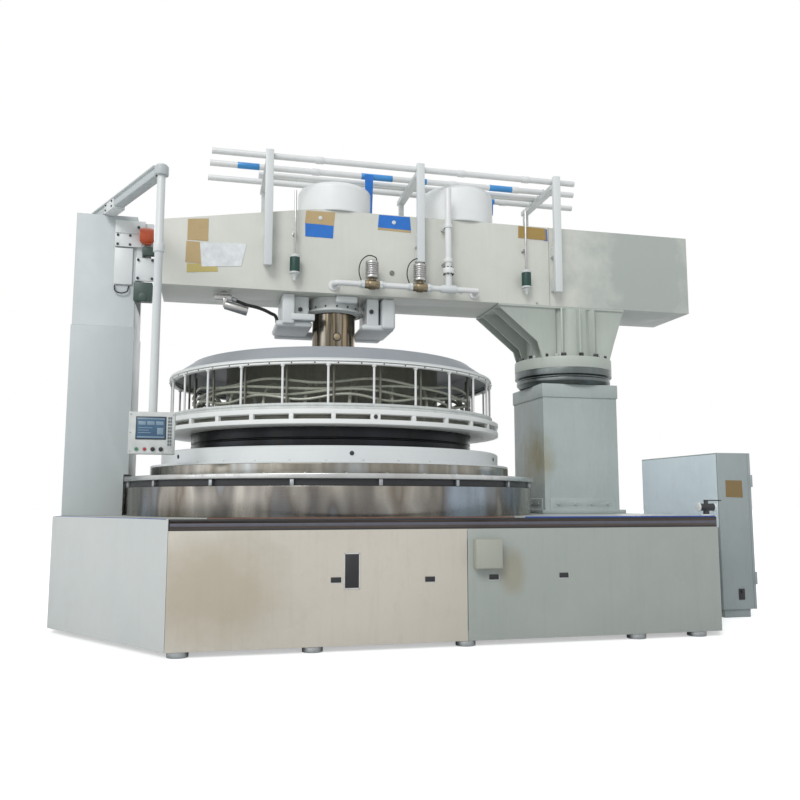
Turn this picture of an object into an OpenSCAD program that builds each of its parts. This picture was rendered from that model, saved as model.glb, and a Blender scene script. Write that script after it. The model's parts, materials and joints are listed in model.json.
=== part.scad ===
// Double-side polishing machine: a faceted base carries a round basin with the lower plate,
// the pin gears and five carriers. A swinging beam on a pedestal holds the upper plate.
// Millimetres, +Z up, floor at Z = 0, +Y to the rear. The origin is the middle of the footprint.
// Modules are drawn about the plate spindle and placed() moves them to the origin.

/* [Base] */
// Half of the base's depth, front cover to spindle
base_half_depth = 1660; // [1640:10:1800]
// Spindle to the left face of the base
base_left = 1945; // [1945:5:2200]
// Spindle to the front left corner, along X
corner_x = 1158; // [900:10:1200]
// Spindle to the side end of the left corner, along Y
corner_y = 560; // [520:10:700]
// Spindle to the right end of the front face
front_right = 2272; // [2250:10:2400]
// Spindle to the right face of the base
base_right = 2450; // [2420:10:2600]
// Spindle to the rear end of the right corner, along Y
right_corner_y = 1380; // [1200:10:1450]
// Spindle to the seam between the front covers, along X
front_seam = 575; // [400:5:800]
// Height of the levelling feet
foot_h = 35; // [25:1:60]
// Height of the front covers
cover_h = 656; // [600:1:760]
// Thickness of the sheet covers
cover_t = 6; // [4:1:10]
// Height of the dark trim above the front cover
trim_h = 64; // [40:1:80]
// Thickness of the deck plate
deck_t = 30; // [20:1:40]
// Thickness of the base's frame walls
wall_t = 50; // [30:1:70]

/* [Plates and gears] */
// Outer radius of both polishing plates
plate_r = 1083; // [1000:1:1085]
// Inner radius of both polishing plates
plate_bore_r = 380; // [375:1:420]
// Thickness of the lower polishing plate
lower_plate_t = 110; // [80:1:120]
// Pitch radius of the ring gear's pins
ring_pitch_r = 1140; // [1130:1:1145]
// Teeth of the sun pin gear
sun_teeth = 33; // [33:1:33]
// Teeth of each carrier
carrier_teeth = 42; // [42:1:42]
// Number of carriers
carrier_n = 5; // [5:1:5]
// Radius of a gear pin
pin_r = 10; // [8:0.5:11]
// Thickness of a carrier
carrier_t = 8; // [5:0.5:9]
// Radius of a workpiece hole in a carrier
work_r = 105; // [80:1:110]

/* [Basin] */
// Outer radius of the basin's lip
lip_r = 1557; // [1500:1:1570]
// Height of the lip's top over the floor
lip_z = 1023; // [1000:1:1060]
// Thickness of the lip plate
lip_t = 32; // [20:1:40]
// Outer radius of the bright band on the lip
band_r = 1370; // [1320:1:1400]
// Height of the bright band
band_h = 68; // [50:1:80]
// Outer radius of the white guard ring
guard_r = 1293; // [1270:1:1310]
// Height of the white guard ring
guard_h = 116; // [100:1:130]

/* [Upper unit] */
// Gap between the guard ring and the raised upper plate
plate_gap = 8; // [5:1:20]
// Thickness of the upper polishing plate
upper_plate_t = 150; // [120:1:180]
// Outer radius of the slotted ring
slot_ring_r = 1300; // [1280:1:1320]
// Height of the slotted ring
slot_ring_h = 95; // [80:1:110]
// Outer radius of the cage
cage_r = 1254; // [1200:1:1270]
// Height of the cage over the slotted ring
cage_h = 327; // [250:1:400]
// Number of outer cage posts
post_n = 26; // [16:1:26]
// Number of inner cage posts
inner_post_n = 22; // [16:1:26]
// Number of slots in the slotted ring
slot_n = 30; // [16:1:36]
// Top radius of the conical cover
cover_top_r = 1102; // [1000:1:1150]
// Height of the conical cover
cover_cone_h = 114; // [80:1:150]
// Radius of the bright lift tube
tube_r = 170; // [150:1:190]
// Travel of the plate lift
lift_travel = 270; // [200:10:275]

/* [Beam] */
// Height of the beam's underside over the floor
beam_z = 2443; // [2430:1:2500]
// Height of the beam
beam_h = 664; // [620:1:700]
// Height of the beam's left end
beam_end_h = 494; // [460:1:520]
// Width of the beam
beam_w = 578; // [540:1:620]
// Spindle to the left end of the beam
beam_left = 1335; // [1320:1:1350]
// Spindle to the right end of the beam
beam_right = 3020; // [2800:10:3040]
// Wall of the box beam
beam_wall = 16; // [10:1:24]
// Radius of the round covers on the beam
dome_r = 300; // [280:1:310]
// Height of the left round cover
dome_h = 248; // [240:1:300]
// Height of the right round cover
right_dome_h = 310; // [280:1:340]
// Spindle to the right round cover, along X
right_dome_x = 1040; // [1000:5:1100]

/* [Pedestal and columns] */
// Spindle to the swing axis of the beam
swing_x = 1973; // [1950:1:2000]
// Side of the square pedestal
pedestal_w = 660; // [620:1:680]
// Height of the pedestal's top over the floor
pedestal_z = 1795; // [1780:1:1810]
// Radius of the slewing ring
slew_r = 404; // [390:1:420]
// Height of the dark lower half of the slewing ring
slew_h = 134; // [120:1:150]
// Height of the white flange over it
flange_h = 89; // [70:1:100]
// Radius of the neck over the flange
neck_r = 340; // [320:1:360]
// Spindle to the left face of the column
column_left = 1935; // [1900:1:1940]
// Width of the left column, along X
column_w = 435; // [400:1:440]
// Depth of the left column, along Y
column_d = 580; // [540:1:600]
// Height of the column's top over the floor
column_z = 2937; // [2900:1:2960]
// Height of the seam in the column over the floor
column_seam_z = 2108; // [2050:1:2150]

/* [Operator panel] */
// Spindle to the arm's pivot, along X
arm_x = 1850; // [1840:1:1860]
// Spindle to the pendant, along X
pendant_x = 1295; // [1250:5:1330]
// Spindle to the pendant, along Y
pendant_y = 1130; // [1100:5:1160]
// Width of the operator panel
panel_w = 272; // [240:1:290]
// Height of the operator panel
panel_h = 258; // [240:1:280]
// Depth of the operator panel
panel_d = 110; // [90:1:130]
// Height of the panel's underside over the floor
panel_z = 1143; // [1120:1:1160]

/* [Cabinet and fittings] */
// Spindle to the left face of the electrical cabinet
cabinet_x = 2770; // [2700:10:2800]
// Depth of the cabinet, along X
cabinet_d = 280; // [270:5:320]
// Width of the cabinet, along Y
cabinet_w = 1100; // [900:10:1200]
// Height of the cabinet over the floor
cabinet_h = 1215; // [1150:5:1300]
// Spindle to the front face of the cabinet, along Y
cabinet_front = 955; // [900:5:1000]
// Depth of the junction box on the front cover
box_d = 80; // [60:1:80]

/* [Hidden] */
$fn = 96;

// One overrun serves every cut
over = 1;
// Gap between pieces that sit on one another but move apart
gap = 0.3;
// Running clearance of a shaft in its bore, on the radius
run = 0.08;
// Clearance of a bolt or tube in a plain hole, on the radius
loose = 3;

// Footprint: the outermost pieces put the origin in the middle
left_reach = base_left;
handle_t = 16;
right_reach = cabinet_x + cabinet_d + gap + handle_t;
front_reach = base_half_depth + box_d;
spindle_x = (left_reach - right_reach) / 2;
spindle_y = (front_reach - base_half_depth) / 2;

// Heights over the floor
cover_z = foot_h + cover_h;
deck_z = cover_z + trim_h;
guard_z = lip_z + band_h + guard_h;
work_z = guard_z - 2.75 * carrier_t;
lower_plate_z = work_z - lower_plate_t;
upper_plate_z = guard_z + plate_gap;
slot_ring_z = upper_plate_z + upper_plate_t - 21 * over;
cage_z = slot_ring_z + slot_ring_h;
cage_top_z = cage_z + cage_h;
cover_top_z = cage_top_z + cover_cone_h;
beam_top_z = beam_z + beam_h;
flange_z = pedestal_z + slew_h;
neck_z = flange_z + flange_h;

// Base outline, counterclockwise from the front left corner
outline = [
    [-corner_x, -base_half_depth], [front_right, -base_half_depth],
    [base_right, -right_corner_y], [base_right, right_corner_y],
    [front_right, base_half_depth], [-corner_x, base_half_depth],
    [-base_left, corner_y], [-base_left, -corner_y]
];
rail_h = 60;
post_w = 70;
seam_gap = 2;
mitre_share = 0.6;
deck_hole_r = 200;

// Gears
ring_teeth = sun_teeth + 2 * carrier_teeth;
tooth_mod = 2 * ring_pitch_r / ring_teeth;
sun_pitch_r = tooth_mod * sun_teeth / 2;
carrier_pitch_r = tooth_mod * carrier_teeth / 2;
orbit_r = sun_pitch_r + carrier_pitch_r;
tooth_tip_h = 9;
slot_clear = 2.5;
work_n = 5;
pin_top_z = work_z + gap + carrier_t + 6;
head_z = work_z - 8;
head_t = 82;
head_rim = 25;
sun_head_t = 37;
sun_shaft_r = 90;
sun_shaft_z = 300;
ring_head_r = 1205;
ring_skirt_r = 1130;
ring_skirt_t = 30;
drive_gear_t = 60;
ring_drive_z = 900;
ring_drive_mod = 16;
ring_drive_teeth = 144;
ring_pinion_teeth = 16;
ring_pinion_y = ring_drive_mod * (ring_drive_teeth + ring_pinion_teeth) / 2;
lower_drive_z = 520;
lower_drive_mod = 10;
lower_drive_teeth = 80;
lower_pinion_teeth = 20;
lower_shaft_r = 24;
ring_shaft_r = 30;
lower_pinion_y = lower_drive_mod * (lower_drive_teeth + lower_pinion_teeth) / 2;
gear_tip_share = 0.9;
gear_root_share = 1.2;
gear_backlash_share = 0.12;
pressure_angle = 20;
spindle_r = 150;
spindle_bore_r = 105;
spindle_end_z = 450;
spindle_flange_r = 1000;
spindle_flange_t = 60;
housing_r = 260;
housing_flange_r = 420;
housing_h = 230;
bearing_t = 50;
ring_bearing_t = 60;
ring_bearing_r = 1110;
motor_r = 130;
reducer_w = 300;
reducer_h = 150;

// Upper unit details
cage_rail = 26;
cage_post_r = 9;
slot_h = 34;
slot_share = 0.86;
ring_wall = 28;
cone_wall = 14;
hub_r = 830;
stub_r = 100;
spoke_n = 11;
spoke_t = 30;
hose_r = 14;
hose_n = 11;
hose_rise = 190;
tube_end_z = 2700;
upper_motor_h = 330;
upper_motor_r = 140;
hanger_z = 2165;
hanger_t = 60;
hanger_r = 235;
hanger_half = 235;
hanger_post_w = 110;
guide_r = 240;
guide_h = 40;
cylinder_x = 330;
cylinder_r = 50;
rod_r = 25;
crosshead_t = 40;
cylinder_top_z = 2600;
crosshead_z = 2640;

// Beam details
pipe_r = 24;
pipe_z = 3485;
post_front = 40;
rack_post_w = 60;
rack_xs = [-557, 628, 1785];
rack_foot_zs = [2610, 2710, 2540];
pipe_ys = [-330, -95, 210];
pipe_lefts = [-988, -1002, -1017];
pipe_rights = [1963, 2063, 2191];
feed_z = 2505;
feed_y = -385;
feed_left = -45;
feed_right = 1090;
valve_xs = [237, 617];
drop_x = 850;
canister_xs = [-353, 1518];
canister_r = 36;
canister_h = 125;
canister_z = 2588;

// Latch between the column and the beam
lock_z = 2760;
lock_y = -150;
lock_r = 30;
lock_travel = 60;
lock_gap = 15;
lock_plate_t = 40;
lock_depth = 100;
latch_w = 290;

// Panel details
arm_w = 70;
arm_h = 60;
pole_r = 26;
hinge_r = 45;
panel_knob_r = 9;
panel_knob_z = 28;
screen_w = 150;
screen_h = 120;

// Cabinet details
door_t = 20;
plinth_h = 60;
cabinet_hinge_r = 12;

module placed() {
    translate([spindle_x, spindle_y, 0]) children();
}

module ring(r_out, r_in, h) {
    difference() {
        cylinder(r = r_out, h = h);
        translate([0, 0, -over]) cylinder(r = r_in, h = h + 2 * over);
    }
}

module on_circle(n, r, start = 0) {
    for (i = [0 : n - 1]) rotate([0, 0, start + i * 360 / n]) translate([r, 0, 0]) children();
}

module block(size, at) {
    translate([at[0] - size[0] / 2, at[1] - size[1] / 2, at[2]]) cube(size);
}

// A rod between two points
module rod(p, q, r) {
    d = q - p;
    turn = atan2(d[1], d[0]);
    tip = atan2(norm([d[0], d[1]]), d[2]);
    translate(p) rotate([0, tip, turn]) cylinder(r = r, h = norm(d));
}

// Points of a convex outline moved inwards by d
function unit(v) = v / norm(v);
function inward(p, q) = [-(q - p)[1], (q - p)[0]] / norm(q - p);
function inset(pts, d) = [
    for (i = [0 : len(pts) - 1])
        let (n = len(pts), a = pts[(i + n - 1) % n], b = pts[i], c = pts[(i + 1) % n])
        let (n1 = inward(a, b), n2 = inward(b, c))
        b + d * (n1 + n2) / (1 + n1 * n2)
];

// Runs along one edge of the base: X along the edge, Y inwards
module on_edge(i) {
    p = outline[i];
    q = outline[(i + 1) % len(outline)];
    translate([p[0], p[1], 0]) rotate([0, 0, atan2(q[1] - p[1], q[0] - p[0])]) children();
}
function edge_length(i) = norm(outline[(i + 1) % len(outline)] - outline[i]);

// Involute gear outline, tooth 0 centred on +X
function inv_angle(r, base) = r <= base ? 0 : sqrt(pow(r / base, 2) - 1) * 180 / PI - acos(base / r);
function gear_points(teeth, mod) =
    let (
        pitch = teeth * mod / 2,
        base = pitch * cos(pressure_angle),
        tip = pitch + gear_tip_share * mod,
        root = pitch - gear_root_share * mod,
        half = 90 / teeth * (1 - gear_backlash_share),
        low = max(root, base),
        rs = [root, low + (pitch - low) / 2, pitch, (pitch + tip) / 2, tip],
        as = [for (r = rs) half + inv_angle(pitch, base) - inv_angle(r, base)]
    )
    [for (t = [0 : teeth - 1]) each concat(
        [for (k = [0 : len(rs) - 1]) rs[k] * [cos(t * 360 / teeth - as[k]), sin(t * 360 / teeth - as[k])]],
        [for (k = [len(rs) - 1 : -1 : 0]) rs[k] * [cos(t * 360 / teeth + as[k]), sin(t * 360 / teeth + as[k])]]
    )];

module gear(teeth, mod, h, bore) {
    difference() {
        linear_extrude(h) polygon(gear_points(teeth, mod));
        translate([0, 0, -over]) cylinder(r = bore, h = h + 2 * over);
    }
}

module bolts_row(n, pitch, r, h) {
    for (i = [0 : n - 1]) translate([(i - (n - 1) / 2) * pitch, 0, 0]) rotate([90, 0, 0]) cylinder(r = r, h = h, $fn = 6);
}

module base_frame() {
    shell = inset(outline, cover_t + gap);
    inner = inset(outline, cover_t + wall_t);
    floor_t = 15;
    color("gainsboro") difference() {
        translate([0, 0, foot_h]) linear_extrude(deck_z - foot_h) polygon(shell);
        translate([0, 0, foot_h + floor_t]) linear_extrude(deck_z - deck_t - foot_h - floor_t) polygon(inner);
        for (i = [0 : len(outline) - 1]) on_edge(i)
            if (edge_length(i) > 4 * post_w)
                translate([2 * post_w, -over, foot_h + rail_h])
                    cube([edge_length(i) - 4 * post_w, cover_t + wall_t + 2 * over, cover_h - 2 * rail_h]);
        translate([0, 0, deck_z - deck_t - over]) cylinder(r = deck_hole_r, h = deck_t + 2 * over);
        translate([0, ring_pinion_y, deck_z - deck_t - over]) cylinder(r = motor_r / 2, h = deck_t + 2 * over);
        // Rebate that the dark trim fills
        for (i = [0 : 4]) on_edge(i) translate([-over, -over, cover_z]) cube([edge_length(i) + 2 * over, wall_t / 2 + over, trim_h + over]);
    }
}

module levelling_feet() {
    foot_r = 60;
    anchor_r = 11;
    corner_xs = [-corner_x + post_w, front_right - 2 * post_w];
    color("silver") {
        for (x = corner_xs, s = [-1, 1]) translate([x, s * (base_half_depth - post_w), 0]) ring(foot_r, anchor_r, foot_h);
        for (x = [-340, 579, 1706], s = [-1, 1]) translate([x, s * (base_half_depth - post_w), 0]) cylinder(r = foot_r, h = foot_h);
        for (s = [-1, 1]) translate([-base_left + 2 * post_w, s * corner_y / 2, 0]) cylinder(r = foot_r, h = foot_h);
        for (s = [-1, 1]) translate([base_right - 2 * post_w, s * corner_y, 0]) cylinder(r = foot_r, h = foot_h);
        cylinder(r = 2 * foot_r, h = foot_h);
    }
}

// A sheet cover with mitred ends
module cover_sheet(length, h) {
    mitre = cover_t * mitre_share;
    start = seam_gap / 2;
    end = length - start;
    translate([0, 0, foot_h]) linear_extrude(h) polygon([[start, 0], [end, 0], [end - mitre, cover_t], [start + mitre, cover_t]]);
}

module front_cover_left() {
    color("whitesmoke") on_edge(0) cover_sheet(corner_x + front_seam, cover_h);
}

module front_cover_right() {
    color("whitesmoke") on_edge(0) translate([corner_x + front_seam, 0, 0]) cover_sheet(front_right - front_seam, cover_h);
}

module side_covers() {
    color("whitesmoke") {
        for (i = [1 : 3]) on_edge(i) cover_sheet(edge_length(i), cover_h);
        for (i = [5 : 7]) on_edge(i) cover_sheet(edge_length(i), cover_h + trim_h);
        on_edge(4) cover_sheet(edge_length(4) / 2, cover_h);
        on_edge(4) translate([edge_length(4) / 2, 0, 0]) cover_sheet(edge_length(4) / 2, cover_h);
    }
}

module cover_fittings() {
    pull_w = 60;
    pull_h = 30;
    pull_t = 3;
    window_w = 80;
    window_h = 190;
    color("black") translate([0, -base_half_depth, foot_h]) {
        for (p = [[-218, 371], [342, 364], [740, 368], [1193, 370]])
            block([pull_w, pull_t, pull_h], [p[0], -pull_t / 2, p[1] - pull_h / 2]);
        block([window_w, pull_t, window_h], [-125, -pull_t / 2, 420 - window_h / 2]);
    }
}

module junction_box() {
    w = 160;
    h = 170;
    x = 690;
    z = 460;
    color("white") difference() {
        block([w, box_d, h], [x, -base_half_depth - box_d / 2, z]);
        block([w - 8 * over, box_d - 8 * over, h - 8 * over], [x, -base_half_depth - box_d / 2, z + 4 * over]);
    }
}

module deck_trim() {
    depth = wall_t / 2;
    color("dimgray") difference() {
        for (i = [0 : 4]) on_edge(i) translate([0, cover_t, cover_z + gap]) cube([edge_length(i), depth - cover_t, trim_h - gap]);
        for (i = [0 : 4]) on_edge(i) translate([-wall_t, -wall_t, cover_z]) cube([edge_length(i) + 2 * wall_t, wall_t + cover_t - over, trim_h + over]);
        for (i = [5 : 7]) on_edge(i) translate([-wall_t, -wall_t, cover_z]) cube([edge_length(i) + 2 * wall_t, wall_t + cover_t + over, trim_h + over]);
    }
}

module basin() {
    wall = 17;
    color("silver") {
        translate([0, 0, deck_z]) rotate_extrude() polygon([
            [lip_r - 4 * wall, 0], [lip_r - wall, 0], [lip_r - wall, lip_z - lip_t - deck_z],
            [lip_r, lip_z - lip_t - deck_z], [lip_r, lip_z - deck_z], [band_r - wall, lip_z - deck_z],
            [band_r - wall, lip_z - lip_t - deck_z], [lip_r - 2 * wall, lip_z - lip_t - deck_z], [lip_r - 2 * wall, wall], [lip_r - 4 * wall, wall]
        ]);
        translate([0, 0, lip_z]) ring(band_r, band_r - wall, band_h);
    }
}

module guard_ring() {
    foot_t = 16;
    inner = ring_head_r + 10;
    color("white") translate([0, 0, lip_z + band_h]) rotate_extrude() polygon([
        [inner, 0], [band_r, 0], [band_r, foot_t], [guard_r, foot_t], [guard_r, guard_h - 12],
        [guard_r - 12, guard_h], [inner, guard_h]
    ]);
}

module left_column() {
    step = 6;
    relief_z = lip_z + 20;
    pocket_x = 120;
    pocket_z = 2300;
    x0 = -column_left;
    color("gainsboro") difference() {
        union() {
            translate([x0, -column_d / 2, deck_z]) cube([column_w, column_d, column_seam_z - deck_z]);
            translate([x0 + step, -column_d / 2 + step, column_seam_z]) cube([column_w - 2 * step, column_d - 2 * step, column_z - column_seam_z]);
        }
        translate([0, 0, deck_z - over]) cylinder(r = lip_r + gap * 10, h = relief_z - deck_z);
        translate([x0 + column_w - pocket_x, -column_d / 2 + pocket_x / 2, pocket_z]) cube([pocket_x + over, column_d - pocket_x, column_z - pocket_z - pocket_x]);
        translate([-arm_x, 0, column_z - 60]) cylinder(r = hinge_r / 2 + run, h = 61);
    }
}

module latch_housing() {
    x0 = -column_left + column_w - 6;
    x1 = -beam_left - lock_gap - lock_plate_t / 2;
    zs = [2480, 2720];
    hs = [150, 170];
    bolt_r = 9;
    color("gainsboro") difference() {
        union() {
            for (i = [0, 1]) translate([x0, -column_d / 2 + 7, zs[i]]) cube([x1 - x0 - 20 * i, lock_plate_t, hs[i]]);
            translate([x0, -column_d / 2 + 7, zs[0]]) cube([lock_plate_t, latch_w, zs[1] + hs[1] - zs[0]]);
            for (i = [0, 1], k = [0, 1], j = [0, 1])
                translate([x0 + 35 + k * 60, -column_d / 2 + 7, zs[i] + 35 + j * 90]) rotate([90, 0, 0]) cylinder(r = bolt_r, h = 6);
        }
        translate([x0 - over, lock_y, lock_z]) rotate([0, 90, 0]) cylinder(r = lock_r + run, h = lock_plate_t + 2 * over);
    }
}

module lock_cylinder() {
    x0 = -column_left + column_w - 6 + lock_plate_t;
    color("orangered") difference() {
        union() {
            translate([x0, lock_y, lock_z]) rotate([0, 90, 0]) cylinder(r = 62, h = 70);
            block([50, 150, 150], [x0 + 25, lock_y, lock_z - 75]);
        }
        translate([x0 - over, lock_y, lock_z]) rotate([0, 90, 0]) cylinder(r = lock_r + run, h = 90);
    }
}

module lock_bolt() {
    x1 = -beam_left - lock_gap;
    color("silver") translate([x1 - 210, lock_y, lock_z]) rotate([0, 90, 0]) {
        cylinder(r = lock_r, h = 200);
        translate([0, 0, 200]) cylinder(r1 = lock_r, r2 = lock_r - 10, h = 10);
    }
}

module pedestal() {
    flange_w = pedestal_w + 60;
    flange_t = 30;
    cap_h = 110;
    strip = 8;
    color("gainsboro") translate([swing_x, 0, deck_z]) {
        block([flange_w, flange_w, flange_t], [0, 0, 0]);
        block([pedestal_w - 2 * strip, pedestal_w - 2 * strip, pedestal_z - deck_z - cap_h - flange_t], [0, 0, flange_t]);
        block([pedestal_w, pedestal_w, cap_h], [0, 0, pedestal_z - deck_z - cap_h]);
        for (a = [0 : 90 : 270]) rotate([0, 0, a]) {
            block([pedestal_w - 100, strip, 90], [0, -pedestal_w / 2 + strip / 2, flange_t]);
            translate([0, -pedestal_w / 2, flange_t + 45]) bolts_row(4, 140, 12, 8);
        }
    }
}

module slew_ring() {
    groove = 18;
    color("dimgray") translate([swing_x, 0, pedestal_z]) rotate_extrude() polygon([
        [slew_r / 2, 0], [slew_r - 40, 0], [slew_r - 14, 30], [slew_r - 14, 55], [slew_r - 14 - groove, 62],
        [slew_r - 14 - groove, 74], [slew_r, 80], [slew_r, slew_h - gap], [slew_r / 2, slew_h - gap]
    ]);
}

module cabinet() {
    wall = 20;
    color("lightgray") difference() {
        union() {
            translate([cabinet_x, -cabinet_front, plinth_h]) cube([cabinet_d - door_t - gap, cabinet_w, cabinet_h - plinth_h]);
            translate([cabinet_x + wall, -cabinet_front + wall, 0]) cube([cabinet_d - door_t - 2 * wall, cabinet_w - 2 * wall, plinth_h]);
        }
        translate([cabinet_x + wall, -cabinet_front + wall, plinth_h + wall]) cube([cabinet_d, cabinet_w - 2 * wall, cabinet_h - plinth_h - 2 * wall]);
    }
    color("gray") translate([base_right + gap, -200, 470]) cube([cabinet_x - base_right - gap, 180, 130]);
    color("silver") translate([cabinet_x + wall, -cabinet_front + 3 * wall, plinth_h + 3 * wall]) cube([wall / 2, cabinet_w - 6 * wall, cabinet_h - plinth_h - 6 * wall]);
    color("dimgray") for (z = [400, 700, 950]) translate([cabinet_x + 1.5 * wall, -cabinet_front + 5 * wall, z]) cube([100, cabinet_w - 10 * wall, 90]);
}

module cabinet_door() {
    lip = 10;
    color("lightgray") difference() {
        translate([cabinet_x + cabinet_d - door_t, -cabinet_front + gap, plinth_h + gap]) cube([door_t, cabinet_w - 2 * gap, cabinet_h - plinth_h - 2 * gap]);
        translate([cabinet_x + cabinet_d - door_t - over, -cabinet_front + lip * 3, plinth_h + lip * 3]) cube([door_t - lip + over, cabinet_w - 6 * lip, cabinet_h - plinth_h - 6 * lip]);
        translate([cabinet_x + cabinet_d - door_t - over, -cabinet_front + cabinet_w - 60, cabinet_h / 2]) rotate([0, 90, 0]) cylinder(r = 10 + run, h = door_t + 2 * over);
    }
    // Hinge barrels on the door's axis
    color("silver") for (z = [240, 960]) translate([cabinet_x + cabinet_d, -cabinet_front + gap, z]) cylinder(r = cabinet_hinge_r, h = 90);
}

module cabinet_handle() {
    grip = 110;
    color("black") translate([cabinet_x + cabinet_d, -cabinet_front + cabinet_w - 60, cabinet_h / 2]) {
        translate([-door_t, 0, 0]) rotate([0, 90, 0]) cylinder(r = 10, h = door_t + gap);
        translate([gap, -15, -grip]) cube([handle_t, 30, grip + 20]);
    }
}

module drain_valve() {
    x = 2300;
    y = -1500;
    color("dimgray") translate([x, y, deck_z]) {
        cylinder(r = 32, h = 10);
        cylinder(r = 20, h = 60);
        translate([-60, 0, 60]) rotate([0, 90, 0]) cylinder(r = 24, h = 120);
        translate([0, 0, 60]) ring(14, 8 + run, 40);
    }
}

module drain_lever() {
    x = 2300;
    y = -1500;
    color("black") translate([x, y, deck_z + 100 + gap]) {
        cylinder(r = 16, h = 8);
        translate([0, 0, -14]) cylinder(r = 8, h = 16);
        translate([0, -10, 0]) cube([110, 20, 8]);
    }
}

module spindle_housing() {
    flange_t = 30;
    bore = spindle_r + 50;
    color("slategray") difference() {
        union() {
            translate([0, 0, deck_z]) cylinder(r = housing_flange_r, h = flange_t);
            translate([0, 0, deck_z]) cylinder(r = housing_r, h = housing_h);
        }
        translate([0, 0, deck_z - over]) cylinder(r = bore, h = housing_h + 2 * over);
    }
    color("dimgray") translate([0, 0, deck_z]) on_circle(12, housing_flange_r - 60, 15) translate([0, 0, flange_t]) cylinder(r = 18, h = 20, $fn = 6);
}

module bearings() {
    color("silver") {
        for (z = [deck_z + 20, deck_z + housing_h - bearing_t - 10]) translate([0, 0, z]) ring(spindle_r + 50, spindle_r + run, bearing_t);
        translate([0, 0, deck_z]) ring(ring_bearing_r, ring_bearing_r - ring_bearing_t, ring_drive_z - deck_z - gap);
        translate([0, 0, deck_z]) ring(ring_bearing_r - ring_bearing_t - run, ring_bearing_r - ring_bearing_t - 20, ring_drive_z - deck_z + 30);
        translate([0, 0, deck_z]) ring(ring_bearing_r - ring_bearing_t + 1, ring_bearing_r - ring_bearing_t - 1, ring_drive_z - deck_z - 30);
    }
}

module motor(r, h, bore) {
    difference() {
        union() {
            cylinder(r = r, h = h);
            for (k = [1 : 5]) translate([0, 0, h * k / 8]) cylinder(r = r + 12, h = 6);
            translate([0, 0, h - 20]) cylinder(r = r + 25, h = 20);
            block([60, 90, 90], [r, 0, h / 2]);
        }
        translate([0, 0, h - 40]) cylinder(r = bore, h = 41);
    }
}

module drive_motors() {
    z = foot_h + 15;
    color("slategray") {
        difference() {
            union() {
                block([reducer_w, reducer_w, reducer_h], [0, 0, z]);
                translate([0, 0, z + reducer_h]) cylinder(r = sun_shaft_r + 40, h = sun_shaft_z + 40 - z - reducer_h);
            }
            translate([0, 0, sun_shaft_z - gap]) cylinder(r = sun_shaft_r + run, h = 100);
        }
        translate([0, lower_pinion_y, z]) motor(motor_r, 400, lower_shaft_r + run);
        block([reducer_w, reducer_w, 300], [0, ring_pinion_y, z]);
        translate([0, ring_pinion_y, z + 300]) motor(motor_r, 300, ring_shaft_r + run);
    }
}

module lower_plate() {
    color("dimgray") translate([0, 0, lower_plate_z]) ring(plate_r, plate_bore_r, lower_plate_t);
}

module lower_spindle() {
    bush = 35;
    top = lower_plate_z;
    flange = top - spindle_flange_t;
    color("slategray") rotate_extrude() polygon([
        [spindle_bore_r, spindle_end_z], [spindle_r, spindle_end_z], [spindle_r, flange - 30],
        [spindle_r + 60, flange], [spindle_flange_r, flange], [spindle_flange_r, top],
        [sun_shaft_r + run, top], [sun_shaft_r + run, top - bush], [spindle_bore_r, top - bush]
    ]);
    color("darkgray") translate([0, 0, lower_drive_z]) gear(lower_drive_teeth, lower_drive_mod, drive_gear_t, spindle_r);
}

module lower_pinion() {
    color("darkgray") translate([0, lower_pinion_y, 0]) {
        translate([0, 0, lower_drive_z - 5]) rotate([0, 0, 90 + 180 / lower_pinion_teeth]) gear(lower_pinion_teeth, lower_drive_mod, drive_gear_t + 10, lower_shaft_r - 1);
        translate([0, 0, foot_h + 380]) cylinder(r = lower_shaft_r, h = lower_drive_z + drive_gear_t + 15 - foot_h - 380);
    }
}

// Pins that stand on a gear head
module pin_circle(n, r) {
    on_circle(n, r) cylinder(r = pin_r, h = pin_top_z - head_z, $fn = 24);
}

module sun_gear() {
    color("silver") {
        translate([0, 0, head_z - sun_head_t]) cylinder(r = sun_pitch_r + head_rim, h = sun_head_t);
        translate([0, 0, sun_shaft_z]) cylinder(r = sun_shaft_r, h = head_z - sun_head_t - sun_shaft_z);
        translate([0, 0, head_z]) pin_circle(sun_teeth, sun_pitch_r);
    }
}

module ring_gear() {
    inner = ring_pitch_r - head_rim;
    skirt_in = ring_skirt_r - ring_skirt_t;
    flange_in = ring_bearing_r - ring_bearing_t;
    color("silver") {
        rotate_extrude() polygon([
            [flange_in, ring_drive_z], [ring_skirt_r, ring_drive_z], [ring_skirt_r, head_z - head_t],
            [ring_head_r, head_z - head_t], [ring_head_r, head_z], [inner, head_z],
            [inner, head_z - head_t / 2], [skirt_in, head_z - head_t / 2],
            [skirt_in, ring_drive_z + drive_gear_t], [flange_in, ring_drive_z + drive_gear_t]
        ]);
        translate([0, 0, head_z]) pin_circle(ring_teeth, ring_pitch_r);
        translate([0, 0, ring_drive_z]) gear(ring_drive_teeth, ring_drive_mod, drive_gear_t, ring_skirt_r);
    }
}

module ring_pinion() {
    color("darkgray") translate([0, ring_pinion_y, 0]) {
        translate([0, 0, ring_drive_z - 3]) rotate([0, 0, 90 + 180 / ring_pinion_teeth]) gear(ring_pinion_teeth, ring_drive_mod, drive_gear_t + 6, ring_shaft_r - 1);
        translate([0, 0, foot_h + 580]) cylinder(r = ring_shaft_r, h = ring_drive_z + drive_gear_t + 10 - foot_h - 580);
    }
}

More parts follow.
